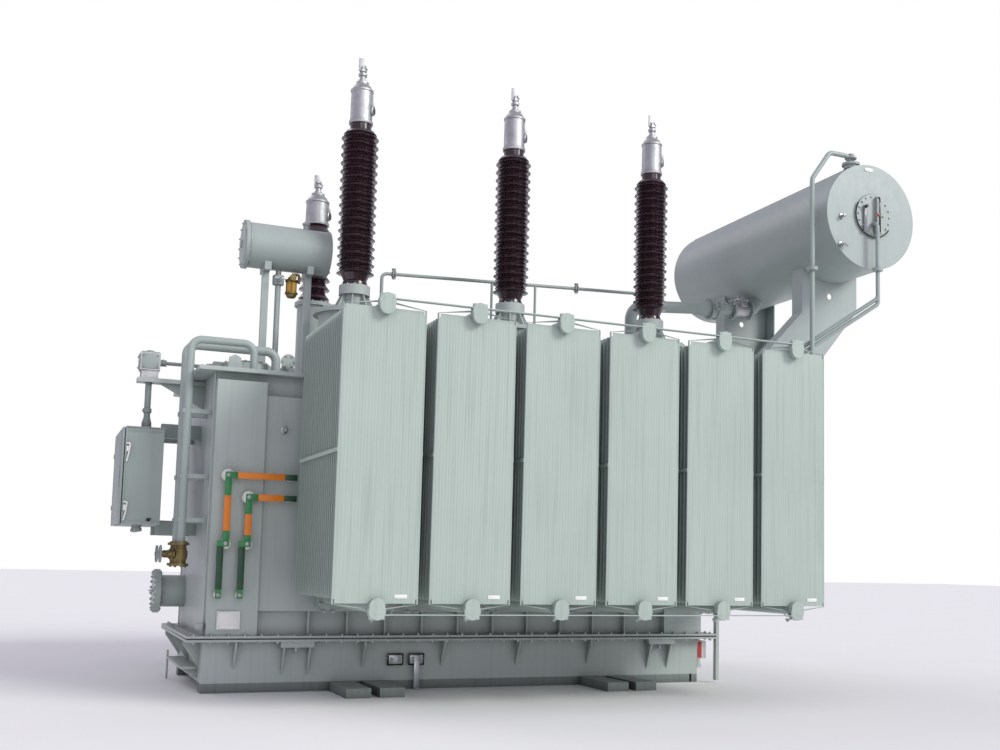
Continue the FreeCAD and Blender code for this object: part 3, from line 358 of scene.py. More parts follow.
# %% Moulded plastics
def plastic(name, colour, rough):
    """Moulded or shrunk plastic with small waves and a trace of dust."""
    finish, tree, shader, place = blank(name)
    faded = tuple(c * 0.8 + 0.08 for c in colour[:3]) + (1.0,)
    dust = patches(tree, place, 40, (0.45, 0.75, 0.0, 0.25), detail=4)
    mixed = add(tree, "Mix", MIX | {6: colour, 7: faded}, {0: (dust, 0)})
    soft = patches(tree, place, 15, (0.3, 0.7, rough - 0.05, rough + 0.08))
    wave = add(tree, "Bump", {"Strength": 0.2, "Distance": 0.0008},
               {"Height": (speckle(tree, place, 12), "Fac")})
    join(tree, shader, mixed, soft, wave)
    return finish


orange_sleeve = plastic("orange_shrink_sleeve", shade("#F0861C"), 0.42)
green_sleeve = plastic("green_shrink_sleeve", shade("#2F8A4C"), 0.40)
dark_green_sleeve = plastic("dark_green_shrink_sleeve", shade("#1C4A2E"), 0.40)
black_slot = plastic("black_gauge_slot", shade("#17181A"), 0.25)
white_lacquer = plastic("white_lacquered_latch", shade("#EFEFEC"), 0.30)
grey_glass = plastic("grey_gauge_glass", shade("#8A8893"), 0.15)
red_mark = plastic("red_float", shade("#C03A3A"), 0.35)
silica_gel = plastic("orange_silica_gel", shade("#D9A441"), 0.55)
print("eight plastics and lacquers")

# %% [markdown]
# ## Finish for every CAD node
# The record names a material slot for each node, and one table from slot to finish dresses
# them all. Pieces made further down replace some of these nodes or lie on them.

# %% Dress the CAD nodes
finishes = {
    "base_steel": base_primer, "tank_paint": tank_enamel, "radiator_paint": radiator_enamel,
    "conservator_paint": conservator_enamel, "pipe_paint": pipe_enamel, "porcelain": maroon_glaze,
    "cast_aluminium": cast_aluminium, "brass": yellow_brass, "wheel_iron": wheel_paint,
    "shaft_steel": shaft_paint, "cubicle_paint": cubicle_enamel, "copper_bar": green_sleeve,
    "white_insulator": cream_glaze, "plate_steel": brushed_plate,
}


def dress(node, slot):
    """Give a CAD node the finish of its slot."""
    mesh = nodes[node].data
    mesh.materials.clear()
    mesh.materials.append(finishes[slot])


for part in frame["record"]["subparts"]:
    dress(part["node"], part["material_slot"])

# %% [markdown]
# ## Shapes
# Most added pieces are one of five shapes: a turned body, a tube along a path, a chamfered
# block, a flat plate cut to an outline, and a bolt. A small class gathers points and faces, so
# hundreds of bolts become one joined mesh that renders fast.

# %% Gather points and faces
class Shape:
    """Points and faces gathered for one joined mesh."""

    def __init__(self):
        self.points = []
        self.faces = []

    def add(self, points, faces):
        start = len(self.points)
        self.points += [tuple(p) for p in points]
        self.faces += [[start + i for i in face] for face in faces]

    def turn(self, outline, place, axis=Z, steps=32):
        """Turned body: outline is (radius, height) pairs along an axis from a place."""
        turned = Vector(axis).normalized().to_track_quat("Z", "X").to_matrix()
        points = []
        for radius, height in outline:
            for i in range(steps):
                angle = 2 * math.pi * i / steps
                spot = Vector((radius * math.cos(angle), radius * math.sin(angle), height))
                points.append(Vector(place) + turned @ spot)
        faces = []
        for row in range(len(outline) - 1):
            for i in range(steps):
                j = (i + 1) % steps
                faces.append([row * steps + i, row * steps + j, (row + 1) * steps + j,
                              (row + 1) * steps + i])
        faces.append(list(range(steps))[::-1])
        faces.append([(len(outline) - 1) * steps + i for i in range(steps)])
        self.add(points, faces)

    def tube(self, path, radius, sides=10, closed=False, ripple=0.0):
        """Round bar through the points of a path; ripple varies the radius as a weld does."""
        path = [Vector(p) for p in path]
        count = len(path)
        normal = None
        points = []
        for i, spot in enumerate(path):
            before = path[i - 1] if i or closed else spot
            after = path[(i + 1) % count] if i < count - 1 or closed else spot
            along = (after - before).normalized()
            if normal is None:
                normal = along.orthogonal().normalized()
            normal = (normal - along * normal.dot(along)).normalized()
            other = along.cross(normal)
            size = radius * (1 + ripple * math.sin(i * 2.1) * random.uniform(0.4, 1))
            for k in range(sides):
                angle = 2 * math.pi * k / sides
                points.append(spot + (normal * math.cos(angle) + other * math.sin(angle)) * size)
        faces = []
        for row in range(count if closed else count - 1):
            nxt = (row + 1) % count
            for k in range(sides):
                m = (k + 1) % sides
                faces.append([row * sides + k, row * sides + m, nxt * sides + m, nxt * sides + k])
        if not closed:
            faces.append(list(range(sides))[::-1])
            faces.append([(count - 1) * sides + k for k in range(sides)])
        self.add(points, faces)

    def block(self, start, end, chamfer=0.002):
        """Block between two corners with chamfered edges."""
        a = Vector([min(p, q) for p, q in zip(start, end)])
        b = Vector([max(p, q) for p, q in zip(start, end)])
        made = bmesh.new()
        bmesh.ops.create_cube(made, size=1)
        for corner in made.verts:
            corner.co = Vector([a[i] + (b[i] - a[i]) * (corner.co[i] + 0.5) for i in range(3)])
        limit = min(b[i] - a[i] for i in range(3)) * 0.4
        bmesh.ops.bevel(made, geom=made.edges, offset=min(chamfer, limit), segments=2,
                        affect="EDGES", profile=0.5)
        made.verts.index_update()
        self.add([v.co for v in made.verts], [[v.index for v in f.verts] for f in made.faces])
        made.free()

    def plate(self, outline, thickness):
        """Plate from an outline of points, pushed along a thickness vector."""
        count = len(outline)
        points = [Vector(p) for p in outline] + [Vector(p) + Vector(thickness) for p in outline]
        faces = [list(range(count)), [count + i for i in range(count)][::-1]]
        for i in range(count):
            j = (i + 1) % count
            faces.append([i, i + count, j + count, j])
        self.add(points, faces)

    def bolt(self, place, axis, size):
        """Hexagon head on a washer; size is the thread diameter."""
        axis = Vector(axis).normalized()
        self.turn([(size * 1.1, 0), (size * 1.1, size * 0.12), (size * 1.02, size * 0.18)],
                  place, axis, 12)
        base = Vector(place) + axis * size * 0.18
        self.turn([(size * 0.90, 0), (size * 0.90, size * 0.50), (size * 0.76, size * 0.62)],
                  base, axis, 6)
        self.turn([(size * 0.48, 0), (size * 0.48, size * 0.35), (size * 0.38, size * 0.42)],
                  base + axis * size * 0.60, axis, 8)

    def bolt_ring(self, place, axis, radius, count, size):
        """Bolts on a pitch circle."""
        turned = Vector(axis).normalized().to_track_quat("Z", "X").to_matrix()
        for i in range(count):
            angle = 2 * math.pi * (i + 0.5) / count
            spot = turned @ Vector((radius * math.cos(angle), radius * math.sin(angle), 0))
            self.bolt(Vector(place) + spot, axis, size)


def piece(name, shape, finish, body="transformer", replaces=()):
    """Make one mesh object of a shape, parent it to the body it rides on, and hide the CAD nodes it
    replaces.
    """
    mesh = bpy.data.meshes.new(name)
    mesh.from_pydata(shape.points, [], shape.faces)
    tidy = bmesh.new()
    tidy.from_mesh(mesh)
    bmesh.ops.recalc_face_normals(tidy, faces=tidy.faces)
    tidy.to_mesh(mesh)
    tidy.free()
    mesh.shade_smooth()
    mesh.set_sharp_from_angle(angle=math.radians(38))
    mesh.materials.append(finish)
    made = bpy.data.objects.new(name, mesh)
    bpy.context.scene.collection.objects.link(made)
    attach(made, body)
    if replaces:
        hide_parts(*replaces)
    print("  piece", name, len(mesh.polygons), "faces")
    return made


def steps_between(start, end, pitch):
    """Points along a straight line about one pitch apart, both ends included."""
    start, end = Vector(start), Vector(end)
    count = max(1, round((end - start).length / pitch))
    return [start.lerp(end, i / count) for i in range(count + 1)]


def round_path(corners, bend, parts=6):
    """Path through corners with each inner corner rounded to a bend radius."""
    corners = [Vector(c) for c in corners]
    path = [corners[0]]
    for before, corner, after in zip(corners, corners[1:], corners[2:]):
        back = (before - corner).normalized()
        ahead = (after - corner).normalized()
        half = (math.pi - back.angle(ahead)) / 2
        trim = bend * math.tan(half)
        for i in range(parts + 1):
            t = i / parts
            path.append((1 - t) ** 2 * (corner + back * trim) + 2 * t * (1 - t) * corner
                        + t ** 2 * (corner + ahead * trim))
    return path + [corners[-1]]


def circle(place, axis, radius, count=48):
    """Points on a circle about an axis."""
    turned = Vector(axis).normalized().to_track_quat("Z", "X").to_matrix()
    spots = []
    for i in range(count):
        angle = 2 * math.pi * i / count
        spot = Vector((radius * math.cos(angle), radius * math.sin(angle), 0))
        spots.append(Vector(place) + turned @ spot)
    return spots


def hoop(place, wide, tall):
    """Half hoop standing or hanging in the x-z plane: tall is below zero when it hangs."""
    turns = [math.pi * i / 10 for i in range(11)]
    return [Vector(place) + Vector((wide * math.cos(a), 0, tall * math.sin(a))) for a in turns]


def bead(shape, start, end, size=0.0055):
    """Straight weld bead, with a ripple every 14 mm."""
    shape.tube(steps_between(start, end, 0.014), size, 6, ripple=0.2)


def ring_bead(shape, place, axis, radius, size=0.006, count=72, ripple=0.15):
    """Weld bead round an axis."""
    shape.tube(circle(place, axis, radius, count), size, 6, closed=True, ripple=ripple)


print("shape helpers ready")

# %% [markdown]
# ## Porcelain bodies
# A bushing's porcelain is turned wet on a lathe: a core with sheds that droop outwards, their
# rims rounded so that rain drips clear. Here the same is done with a turned outline. The
# high-voltage bodies have a plain collar below and a plain neck above. The smooth outline
# replaces the straight-sided CAD body.

# %% Turn the porcelain
def shed(height, core, radius, pitch):
    """Half section of one shed, from its underside to the core above it."""
    reach = radius - core
    return [(core, height - 0.04 * pitch), (core + 0.15 * reach, height + 0.03 * pitch),
            (radius - 0.007, height + 0.06 * pitch), (radius - 0.002, height + 0.07 * pitch),
            (radius, height + 0.11 * pitch), (radius - 0.002, height + 0.16 * pitch),
            (core + 0.66 * reach, height + 0.34 * pitch), (core + 0.30 * reach, height + 0.58 * pitch),
            (core + 0.08 * reach, height + 0.76 * pitch), (core, height + 0.86 * pitch)]


def sheds(bottom, top, core, radius, count, small_radius=None):
    """Outline of sheds spaced evenly from bottom to top; every second one may be smaller."""
    pitch = (top - bottom) / count
    outline = []
    for i in range(count):
        reach = small_radius if small_radius and i % 2 else radius
        outline += shed(bottom + (i + 0.12) * pitch, core, reach, pitch)
    return outline


CORE = 0.088
SHED_CORE = 0.110
SHED = (high("hv_porcelain_a").x - low("hv_porcelain_a").x) / 2
SMALL_SHED = SHED - 0.016
SHED_COUNT = 34
COLLAR, NECK = 0.092, 0.060
for letter in "abc":
    node = f"hv_porcelain_{letter}"
    foot, top, at = low(node).z, high(node).z, middle(node)
    body_top = top - NECK
    outline = [(CORE + 0.006, 0), (CORE + 0.006, 0.030), (CORE, 0.042)]
    outline += sheds(COLLAR, body_top - foot, SHED_CORE, SHED, SHED_COUNT, SMALL_SHED)
    outline += [(CORE - 0.006, body_top - foot + 0.006), (CORE - 0.006, top - foot)]
    body = Shape()
    body.turn(outline, (at.x, at.y, foot), steps=72)
    piece(f"turned_porcelain_{letter}", body, maroon_glaze, replaces=[node])

neutral = middle("neutral_porcelain")
neutral_foot, neutral_top = low("neutral_porcelain").z, high("neutral_porcelain").z
body = Shape()
body.turn([(0.078, 0), (0.078, 0.012)]
          + sheds(0.020, neutral_top - neutral_foot - 0.01, 0.088, 0.125, 8)
          + [(0.078, neutral_top - neutral_foot)], (neutral.x, neutral.y, neutral_foot), steps=64)
piece("turned_porcelain_neutral", body, maroon_glaze, replaces=["neutral_porcelain"])

lv_low, lv_high = low("lv_porcelain"), high("lv_porcelain")
lv_radius = (lv_high.y - lv_low.y) / 2
lv_places = [lv_low.x + lv_radius, (lv_low.x + lv_high.x) / 2, lv_high.x - lv_radius]
lv_y = (lv_low.y + lv_high.y) / 2
body = Shape()
for x in lv_places:
    height = lv_high.z - lv_low.z
    body.turn([(0.050, 0), (0.050, 0.012)] + sheds(0.02, height - 0.01, 0.050, lv_radius, 5)
              + [(0.050, height)], (x, lv_y, lv_low.z), steps=56)
piece("turned_porcelain_low_voltage", body, maroon_glaze, replaces=["lv_porcelain"])

# %% [markdown]
# ## Bushing caps
# A cast oil cap sits on each porcelain: a rim, a plain drum with an oil sight on its right, a
# domed lid and a terminal stud with nuts and a flat palm for the conductor.

# %% Cast the caps
def cap(drum, sight, x, y, foot, radius, drum_top, tip):
    """Drum, domed lid, stud and palm in drum; the sight glass goes in sight."""
    tall = drum_top - foot
    drum.turn([(radius + 0.004, 0), (radius + 0.006, 0.004), (radius + 0.006, 0.022),
               (radius - 0.002, 0.028), (radius - 0.004, tall - 0.012), (radius + 0.002, tall - 0.006),
               (radius + 0.002, tall + 0.006), (radius * 0.90, tall + 0.014),
               (radius * 0.80, tall + 0.034), (radius * 0.62, tall + 0.052),
               (radius * 0.56, tall + 0.056), (radius * 0.56, tall + 0.074),
               (radius * 0.34, tall + 0.080)], (x, y, foot), steps=48)
    lid = drum_top + 0.074
    drum.turn([(0.030, 0), (0.030, 0.022), (0.022, 0.026), (0.022, 0.050), (0.034, 0.052),
               (0.034, 0.070), (0.018, 0.072), (0.018, tip - lid - 0.070)], (x, y, lid), steps=24)
    drum.turn([(0.028, 0), (0.028, 0.016)], (x, y, lid + 0.088), steps=6)
    drum.block((x - 0.034, y - 0.006, tip - 0.105), (x + 0.034, y + 0.006, tip), 0.003)
    drum.block((x + 0.012, y - 0.022, tip - 0.090), (x + 0.034, y + 0.022, tip - 0.060), 0.003)
    drum.bolt_ring((x, y, drum_top + 0.004), Z, radius * 0.84, 8, 0.009)
    side = X * math.cos(0.5) - Y * math.sin(0.5)
    spot = Vector((x, y, foot + tall * 0.42)) + side * (radius - 0.012)
    drum.turn([(0.040, 0), (0.040, 0.020), (0.034, 0.026)], spot, side, 24)
    drum.block(spot + Vector((0.002, -0.012, 0.03)), spot + Vector((0.026, 0.010, tall * 0.5)), 0.005)
    sight.turn([(0.030, 0.018), (0.030, 0.029), (0.024, 0.031)], spot, side, 24)


caps_top = high("bushing_caps").z
drum, sight = Shape(), Shape()
for letter in "abc":
    at = middle(f"hv_porcelain_{letter}")
    foot = high(f"hv_porcelain_{letter}").z
    cap(drum, sight, at.x, at.y, foot, 0.088, foot + 0.272, caps_top)
cap(drum, sight, neutral.x, neutral.y, neutral_top, 0.095, neutral_top + 0.197, neutral_top + 0.430)
piece("cast_caps", drum, cast_aluminium, replaces=["bushing_caps"])
piece("cap_oil_sights", sight, black_slot)

# %% [markdown]
# ## Turret flanges
# Each high-voltage bushing stands on a turret. Bolts ring its foot on the cover, its top flange
# and the bushing's own seat. The neutral turret and the low-voltage flanges are bolted alike.

# %% Bolt the turrets
bolts = Shape()
studs = Shape()
turret_top = low("bushing_turrets").z + 0.596
SEAT, TURRET = 0.120, 0.272
for letter in "abc":
    at = middle(f"hv_porcelain_{letter}")
    seat = low(f"hv_porcelain_{letter}").z
    bolts.bolt_ring((at.x, at.y, turret_top), Z, 0.290, 20, 0.014)
    bolts.bolt_ring((at.x, at.y, cover.z + 0.030), Z, 0.291, 24, 0.014)
    studs.bolt_ring((at.x, at.y, seat), Z, SEAT - 0.015, 12, 0.010)
    ring_bead(bolts, (at.x, at.y, cover.z + 0.034), Z, TURRET)
    ring_bead(bolts, (at.x, at.y, turret_top - 0.034), Z, TURRET)
studs.bolt_ring((neutral.x, neutral.y, neutral_foot), Z, 0.138, 12, 0.010)
bolts.bolt_ring((neutral.x, neutral.y, cover.z + 0.030), Z, 0.141, 12, 0.010)
for x in lv_places:
    studs.bolt_ring((x, lv_y, cover.z + 0.030), Z, 0.088, 8, 0.010)
    studs.bolt((x, lv_y, lv_high.z + 0.030), Z, 0.024)
    studs.turn([(0.036, 0), (0.036, 0.018), (0.030, 0.022)], (x, lv_y, lv_high.z + 0.075), Z, 6)
piece("turret_bolts", bolts, tank_enamel)
piece("bushing_seat_bolts", studs, zinc_plate)

# %% [markdown]
# ## Belt and tank seams
# The bell of the tank is held to its tray by a close row of bolts round the belt, with the nuts
# showing below. The boxes and panels are welded on; a weld bead is a low rounded ridge with a
# fine ripple from each pass, about 5 mm high.

# %% Bolt the belt and lay the weld beads
belt_z = high("lower_tank").z + 0.020
belt_under = high("lower_tank").z - 0.020
belt_x, belt_y = high("lower_tank").x, high("lower_tank").y
BELT_PITCH = 0.110
belt = Shape()
for side in (-1, 1):
    line_y, line_x = side * (belt_y - 0.0135), side * (belt_x - 0.045)
    rows = [steps_between((-belt_x + 0.05, line_y, 0), (belt_x - 0.05, line_y, 0), BELT_PITCH),
            steps_between((line_x, -belt_y + 0.10, 0), (line_x, belt_y - 0.10, 0), BELT_PITCH)]
    for row in rows:
        for spot in row:
            belt.bolt((spot.x, spot.y, belt_z), Z, 0.013)
            belt.bolt((spot.x, spot.y, belt_under), -Z, 0.013)
piece("belt_bolts", belt, zinc_plate)

gasket = Shape()
joint_z = high("lower_tank").z
corners = [(-belt_x, -belt_y), (belt_x, -belt_y), (belt_x, belt_y), (-belt_x, belt_y)]
for (x0, y0), (x1, y1) in zip(corners, corners[1:] + corners[:1]):
    gasket.block((min(x0, x1) - 0.001, min(y0, y1) - 0.001, joint_z - 0.005),
                 (max(x0, x1) + 0.001, max(y0, y1) + 0.001, joint_z + 0.005), 0.001)
piece("belt_gasket", gasket, black_slot)

beads = Shape()
box_x = (wall.x - 0.008, wall.x - 0.345)
box_top = cover.z - 0.084
panel_top = cover.z - 0.174
panel_foot = 0.555
for side in (-1, 1):
    face = side * (wall.y + 0.002)
    for end in (-1, 1):
        for x in box_x:
            bead(beads, (end * x, face, belt_z), (end * x, face, box_top))
        bead(beads, (end * box_x[0], face, box_top), (end * box_x[1], face, box_top))
        bead(beads, (end * wall.x, side * wall.y, belt_z),
             (end * wall.x, side * wall.y, cover.z - 0.030), 0.0065)
    for z in (panel_top, panel_foot):
        bead(beads, (-box_x[1], face, z), (box_x[1], face, z))
piece("tank_weld_beads", beads, tank_enamel)

# %% [markdown]
# ## Tank fittings
# Small things a tank carries: earthing pads with bolts and one flat strap to the ground, a
# plug, jacking pad gussets, a towing shelf at each end of the base, lifting lugs on the cover,
# and a sampling box on the right end between belt and base.

# %% Fit the tank
fittings, pads, dark_pads = Shape(), Shape(), Shape()
pad_top, pad_low = 0.252, 0.174
pad_face = -wall.y - 0.024
PAD_PLACES, STRAP = (-0.588, -0.432), (-0.452, -0.412)
for x in PAD_PLACES:
    dark_pads.block((x - 0.060, pad_face + 0.004, pad_low - 0.004),
                    (x + 0.060, pad_face - 0.002, pad_top + 0.004), 0.004)
    pads.block((x - 0.048, pad_face, pad_low + 0.008),
               (x + 0.048, pad_face - 0.005, pad_top - 0.008), 0.003)
    for dx in (-0.030, 0.030):
        pads.bolt((x + dx, pad_face - 0.004, (pad_top + pad_low) / 2), -Y, 0.014)
pads.block((STRAP[0], pad_face - 0.018, 0.012), (STRAP[1], pad_face - 0.012, pad_top - 0.012), 0.002)
pads.block((STRAP[0], pad_face - 0.060, 0.006), (STRAP[1], pad_face - 0.012, 0.012), 0.002)
JACK_PLACES = (-1.305, 1.560)
jack_z = belt_under - 0.04
for x in JACK_PLACES:
    for side in (-1, 1):
        for dx in (-0.095, 0.083):
            fittings.plate([(x + dx, side * wall.y, jack_z), (x + dx, side * (belt_y - 0.012), jack_z),
                            (x + dx, side * (belt_y - 0.030), jack_z - 0.03),
                            (x + dx, side * wall.y, 0.110)], X * 0.012)
        pads.turn([(0.016, 0), (0.016, 0.03), (0.010, 0.036)],
                  (x, side * (belt_y - 0.05), jack_z), -Z, 6)
SHELF_UNDER, SHELF_TOP = 0.150, 0.168
reach = wall.x + 0.115
for end in (-1, 1):
    fittings.block((end * wall.x, -0.55, SHELF_UNDER), (end * reach, 0.36, SHELF_TOP), 0.004)
    fittings.block((end * reach, 0.345, 0.0), (end * (reach - 0.014), 0.365, 0.215), 0.003)
    for y in (-0.50, -0.10, 0.30):
        fittings.plate([(end * wall.x, y, SHELF_UNDER), (end * (reach - 0.02), y, SHELF_UNDER),
                        (end * wall.x, y, 0.085)], Y * 0.012)
fittings.block((1.860, -0.700, 0.0), (1.880, -0.660, 0.068), 0.002)
LUG_X, LUG_Y = 1.80, 0.66
lug = ((-0.05, 0), (0.05, 0), (0.04, 0.09), (0, 0.11), (-0.04, 0.09))
for x in (-LUG_X, LUG_X):
    for side in (-1, 1):
        fittings.plate([(x + dx, side * LUG_Y, cover.z + dz) for dx, dz in lug], Y * side * 0.018)
plug = Vector((-1.456, -wall.y - 0.050, 1.806))
pads.turn([(0.024, 0), (0.024, 0.012), (0.016, 0.014), (0.016, 0.040), (0.013, 0.044)], plug, -Y, 16)
fittings.block((-1.985, -0.745, 0.430), (-1.935, -0.700, 0.470), 0.003)
piece("tank_fittings", fittings, tank_enamel)
piece("earthing_pads_and_strap", pads, zinc_plate)
piece("earthing_pad_frames", dark_pads, black_slot)

sampler = Shape()
sampler.block((wall.x, -0.700, 0.185), (wall.x + 0.085, -0.590, 0.325), 0.004)
sampler.turn([(0.018, 0), (0.018, 0.05), (0.026, 0.052), (0.026, 0.075)],
             (wall.x + 0.045, -0.645, 0.185), -Z, 16)
piece("sampling_box", sampler, white_lacquer)
mark = Shape()
mark.block((wall.x + 0.004, -0.706, 0.190), (wall.x + 0.040, -0.700, 0.320), 0.002)
piece("sampling_box_seal", mark, red_mark)

# %% [markdown]
# ## Radiator panels
# A radiator panel is two sheets pressed with upright flutes and seam-welded round the rim, so
# oil runs between them. The outer face of each bank shows the flutes, and its rim is a rounded
# bead that catches light. One fluted sheet and one rim tube per bank go over the flat CAD face.

# %% Press the flutes and roll the rims
FLUTES = 25
FLUTE_HEIGHT = 0.0012
HALF = 0.260
ROOF = 0.030
RIM = 0.006


def flute_sheet(shape, centre, face, out, foot, top):
    """Fluted outer sheet of one bank, faded out towards its ends and edges."""
    columns = FLUTES * 6
    rows = [0.0, 0.02, 0.05, 0.10, 0.5, 0.90, 0.95, 0.98, 1.0]
    inner = HALF - 0.012
    points = []
    for t in rows:
        fade = min(1.0, 12 * min(t, 1 - t))
        for c in range(columns + 1):
            u = 2 * c / columns - 1
            wave = 0.5 - 0.5 * math.cos(2 * math.pi * FLUTES * c / columns)
            edge = min(1.0, 14 * (1 - abs(u)))
            proud = 0.0006 + FLUTE_HEIGHT * wave * fade * edge
            points.append((centre + u * inner, face + out * proud, foot + t * (top - foot)))
    faces = []
    for r in range(len(rows) - 1):
        for c in range(columns):
            i = r * (columns + 1) + c
            faces.append([i, i + 1, i + columns + 2, i + columns + 1])
    shape.add(points, faces)


def bank_rim(shape, centre, face, foot, top):
    """Rounded rim round the outer panel."""
    roof = 0.050
    corners = [(centre - HALF, foot), (centre - roof, foot - ROOF), (centre + roof, foot - ROOF),
               (centre + HALF, foot), (centre + HALF, top), (centre + roof, top + ROOF),
               (centre - roof, top + ROOF), (centre - HALF, top)]
    shape.tube([(x, face, z) for x, z in corners], RIM, 8, closed=True)


for row, out in (("front", -1), ("rear", 1)):
    sheets, rims = Shape(), Shape()
    for bank in range(1, 7):
        node = f"radiator_{row}_{bank}"
        centre = middle(node).x
        nose = low(node).y if out < 0 else high(node).y
        face = nose - out * 0.055
        foot, top = low(node).z + 0.088, high(node).z - 0.074
        flute_sheet(sheets, centre, face, out, foot + 0.004, top - 0.004)
        bank_rim(rims, centre, face - out * 0.004, foot, top)
    piece(f"fluted_sheets_{row}", sheets, radiator_enamel)
    piece(f"panel_rims_{row}", rims, radiator_enamel)

# %% [markdown]
# ## Radiator headers
# Round headers pass through every panel and end in a blank cap at the outer face, held to the
# tie bar by a short plate. Below hang a drain plug and a lifting loop. At the tank side each
# header meets its pipe in a bolted flange with a small butterfly-valve lever.

# %% Fit the headers
caps, loops, flanges = Shape(), Shape(), Shape()
for row, out in (("front", -1), ("rear", 1)):
    for bank in range(1, 7):
        node = f"radiator_{row}_{bank}"
        centre = middle(node).x
        nose = low(node).y if out < 0 else high(node).y
        over, under = high(node).z - 0.048, low(node).z + 0.048
        for z, way in ((over, 1), (under, -1)):
            caps.turn([(0.046, -0.050), (0.054, -0.046), (0.054, -0.004), (0.051, -0.0006)],
                      (centre, nose, z), Y * out, 40)
            caps.block((centre - 0.047, nose - out * 0.004, z),
                       (centre + 0.047, nose - out * 0.030, z + way * 0.049), 0.003)
            flange_y = out * (wall.y + 0.200)
            for to in (out, -out):
                flanges.bolt_ring((centre, flange_y + to * 0.018, z), Y * to, 0.064, 6, 0.012)
            flanges.block((centre + 0.070, flange_y - 0.010, z - 0.008),
                          (centre + 0.165, flange_y + 0.002, z + 0.008), 0.003)
        loops.tube(hoop((centre + 0.16, nose - out * 0.35, under + 0.010), 0.035, -0.050), 0.006, 8)
        caps.turn([(0.016, 0), (0.016, 0.012), (0.010, 0.014), (0.010, 0.022)],
                  (centre, nose - out * 0.12, under - 0.045), -Z, 12)
piece("header_caps", caps, radiator_enamel)
piece("lifting_loops", loops, radiator_enamel)
piece("header_flange_bolts", flanges, zinc_plate)

plates = Shape()
for bank in range(1, 7):
    node = f"radiator_front_{bank}"
    x, y, z = middle(node).x, low(node).y + 0.055, low(node).z + 0.135
    plates.block((x + 0.115, y - 0.0045, z - 0.012), (x + 0.195, y + 0.001, z + 0.012), 0.001)
piece("bare_bank_plates", plates, white_lacquer)

# %% [markdown]
# ## Conservator
# The conservator is rolled plate with a welded flat end. Its front carries a round bolted hatch
# and an upright oil level gauge: a black slot with a hooked top, a red float and a green mark.
# Four weld rings run round the shell and a seam along it. Lugs, a filling eye and small taps
# are fitted to the shell and its end.

# %% Fit the conservator
front = low("conservator_shell").y - 0.014
axis = Vector((middle("conservator_shell").x, 0, middle("conservator_shell").z))
radius = high("conservator_shell").x - axis.x
breather_x, breather_y = axis.x - radius - 0.071, -1.150
hatch = Vector((axis.x + 0.022, front - 0.014, axis.z + 0.013))
gauge = hatch + X * 0.033
rings = Shape()
for y in (front + 0.012, front + 0.85, front + 1.70, -front - 0.012):
    ring_bead(rings, (axis.x, y, axis.z), Y, radius - 0.0055, 0.0052, 120)
seam_x, seam_z = axis.x - radius * 0.5, axis.z + radius * 0.868
bead(rings, (seam_x, front + 0.02, seam_z), (seam_x, -front - 0.02, seam_z), 0.005)
ring_bead(rings, (hatch.x, front - 0.002, hatch.z), Y, 0.180, 0.005, ripple=0.0)
for y in (front + 0.35, -front - 0.35):
    rings.tube(hoop((axis.x, y, axis.z + radius), 0.045, 0.055), 0.009, 8)
rings.turn([(0.060, 0), (0.060, 0.030), (0.075, 0.030), (0.075, 0.050)],
           (axis.x - 0.122, breather_y, axis.z + radius - 0.022), Z, 24)
piece("conservator_welds_and_lugs", rings, conservator_enamel)
eye = Shape()
oval = [(0.045 * math.cos(a), 0.016 * math.sin(a)) for a in [math.pi * i / 12 for i in range(24)]]
eye.plate([(axis.x - 0.020 + dx, front + 0.002, axis.z + 0.404 + dz) for dx, dz in oval], Y * -0.008)
piece("conservator_filling_eye", eye, white_lacquer)

hatch_bolts = Shape()
hatch_bolts.bolt_ring(hatch, -Y, 0.160, 18, 0.010)
for dx, dz in ((-0.302, -0.035), (-0.312, -0.275)):
    spot = Vector((axis.x + dx, front, axis.z + dz))
    hatch_bolts.turn([(0.024, 0), (0.024, 0.010), (0.011, 0.012), (0.011, 0.030), (0.015, 0.032),
                      (0.015, 0.044), (0.008, 0.048)], spot, -Y, 20)
lever = ((-0.360, -0.030, -0.285), (-0.312, -0.052, -0.275), (-0.262, -0.030, -0.290))
hatch_bolts.tube([(axis.x + dx, front + dy, axis.z + dz) for dx, dy, dz in lever], 0.007, 8)
piece("conservator_end_fittings", hatch_bolts, zinc_plate)

slot = Shape()
gauge_face = low("conservator_end_front").y
slot.block((gauge.x - 0.010, gauge_face + 0.006, gauge.z - 0.148),
           (gauge.x + 0.010, gauge_face - 0.003, gauge.z + 0.120), 0.002)
hook = ((0, 0.110), (0, 0.147), (-0.018, 0.147))
slot.tube(round_path([(gauge.x + dx, gauge_face - 0.001, gauge.z + dz) for dx, dz in hook], 0.010),
          0.006, 8)
# Painted shadow: a thin black arc round the lower left of the hatch rim stands for the shade in its gap.
slot.tube([hatch + Vector((0.186 * math.cos(a), -0.001, 0.186 * math.sin(a))) for a in
           [math.radians(150 + 7 * i) for i in range(26)]], 0.0045, 8)
glass = Shape()
glass.block((hatch.x - 0.115, hatch.y - 0.020, hatch.z - 0.155),
            (hatch.x - 0.085, hatch.y, hatch.z + 0.070), 0.004)
glass.block((gauge.x - 0.005, gauge_face + 0.004, gauge.z + 0.020),
            (gauge.x + 0.006, gauge_face - 0.0045, gauge.z + 0.110), 0.002)
piece("gauge_glasses", glass, grey_glass)
slot.turn([(0.014, 0), (0.014, 0.022), (0.010, 0.026)],
          (hatch.x - 0.100, hatch.y - 0.018, hatch.z + 0.060), -Y, 16)
piece("gauge_slots_and_hatch_shadow", slot, black_slot)
float_mark = Shape()
float_mark.turn([(0.012, 0), (0.012, 0.006), (0.008, 0.008)],
                (gauge.x - 0.012, gauge_face - 0.002, gauge.z), -Y, 16)
piece("gauge_red_float", float_mark, red_mark)
level_mark = Shape()
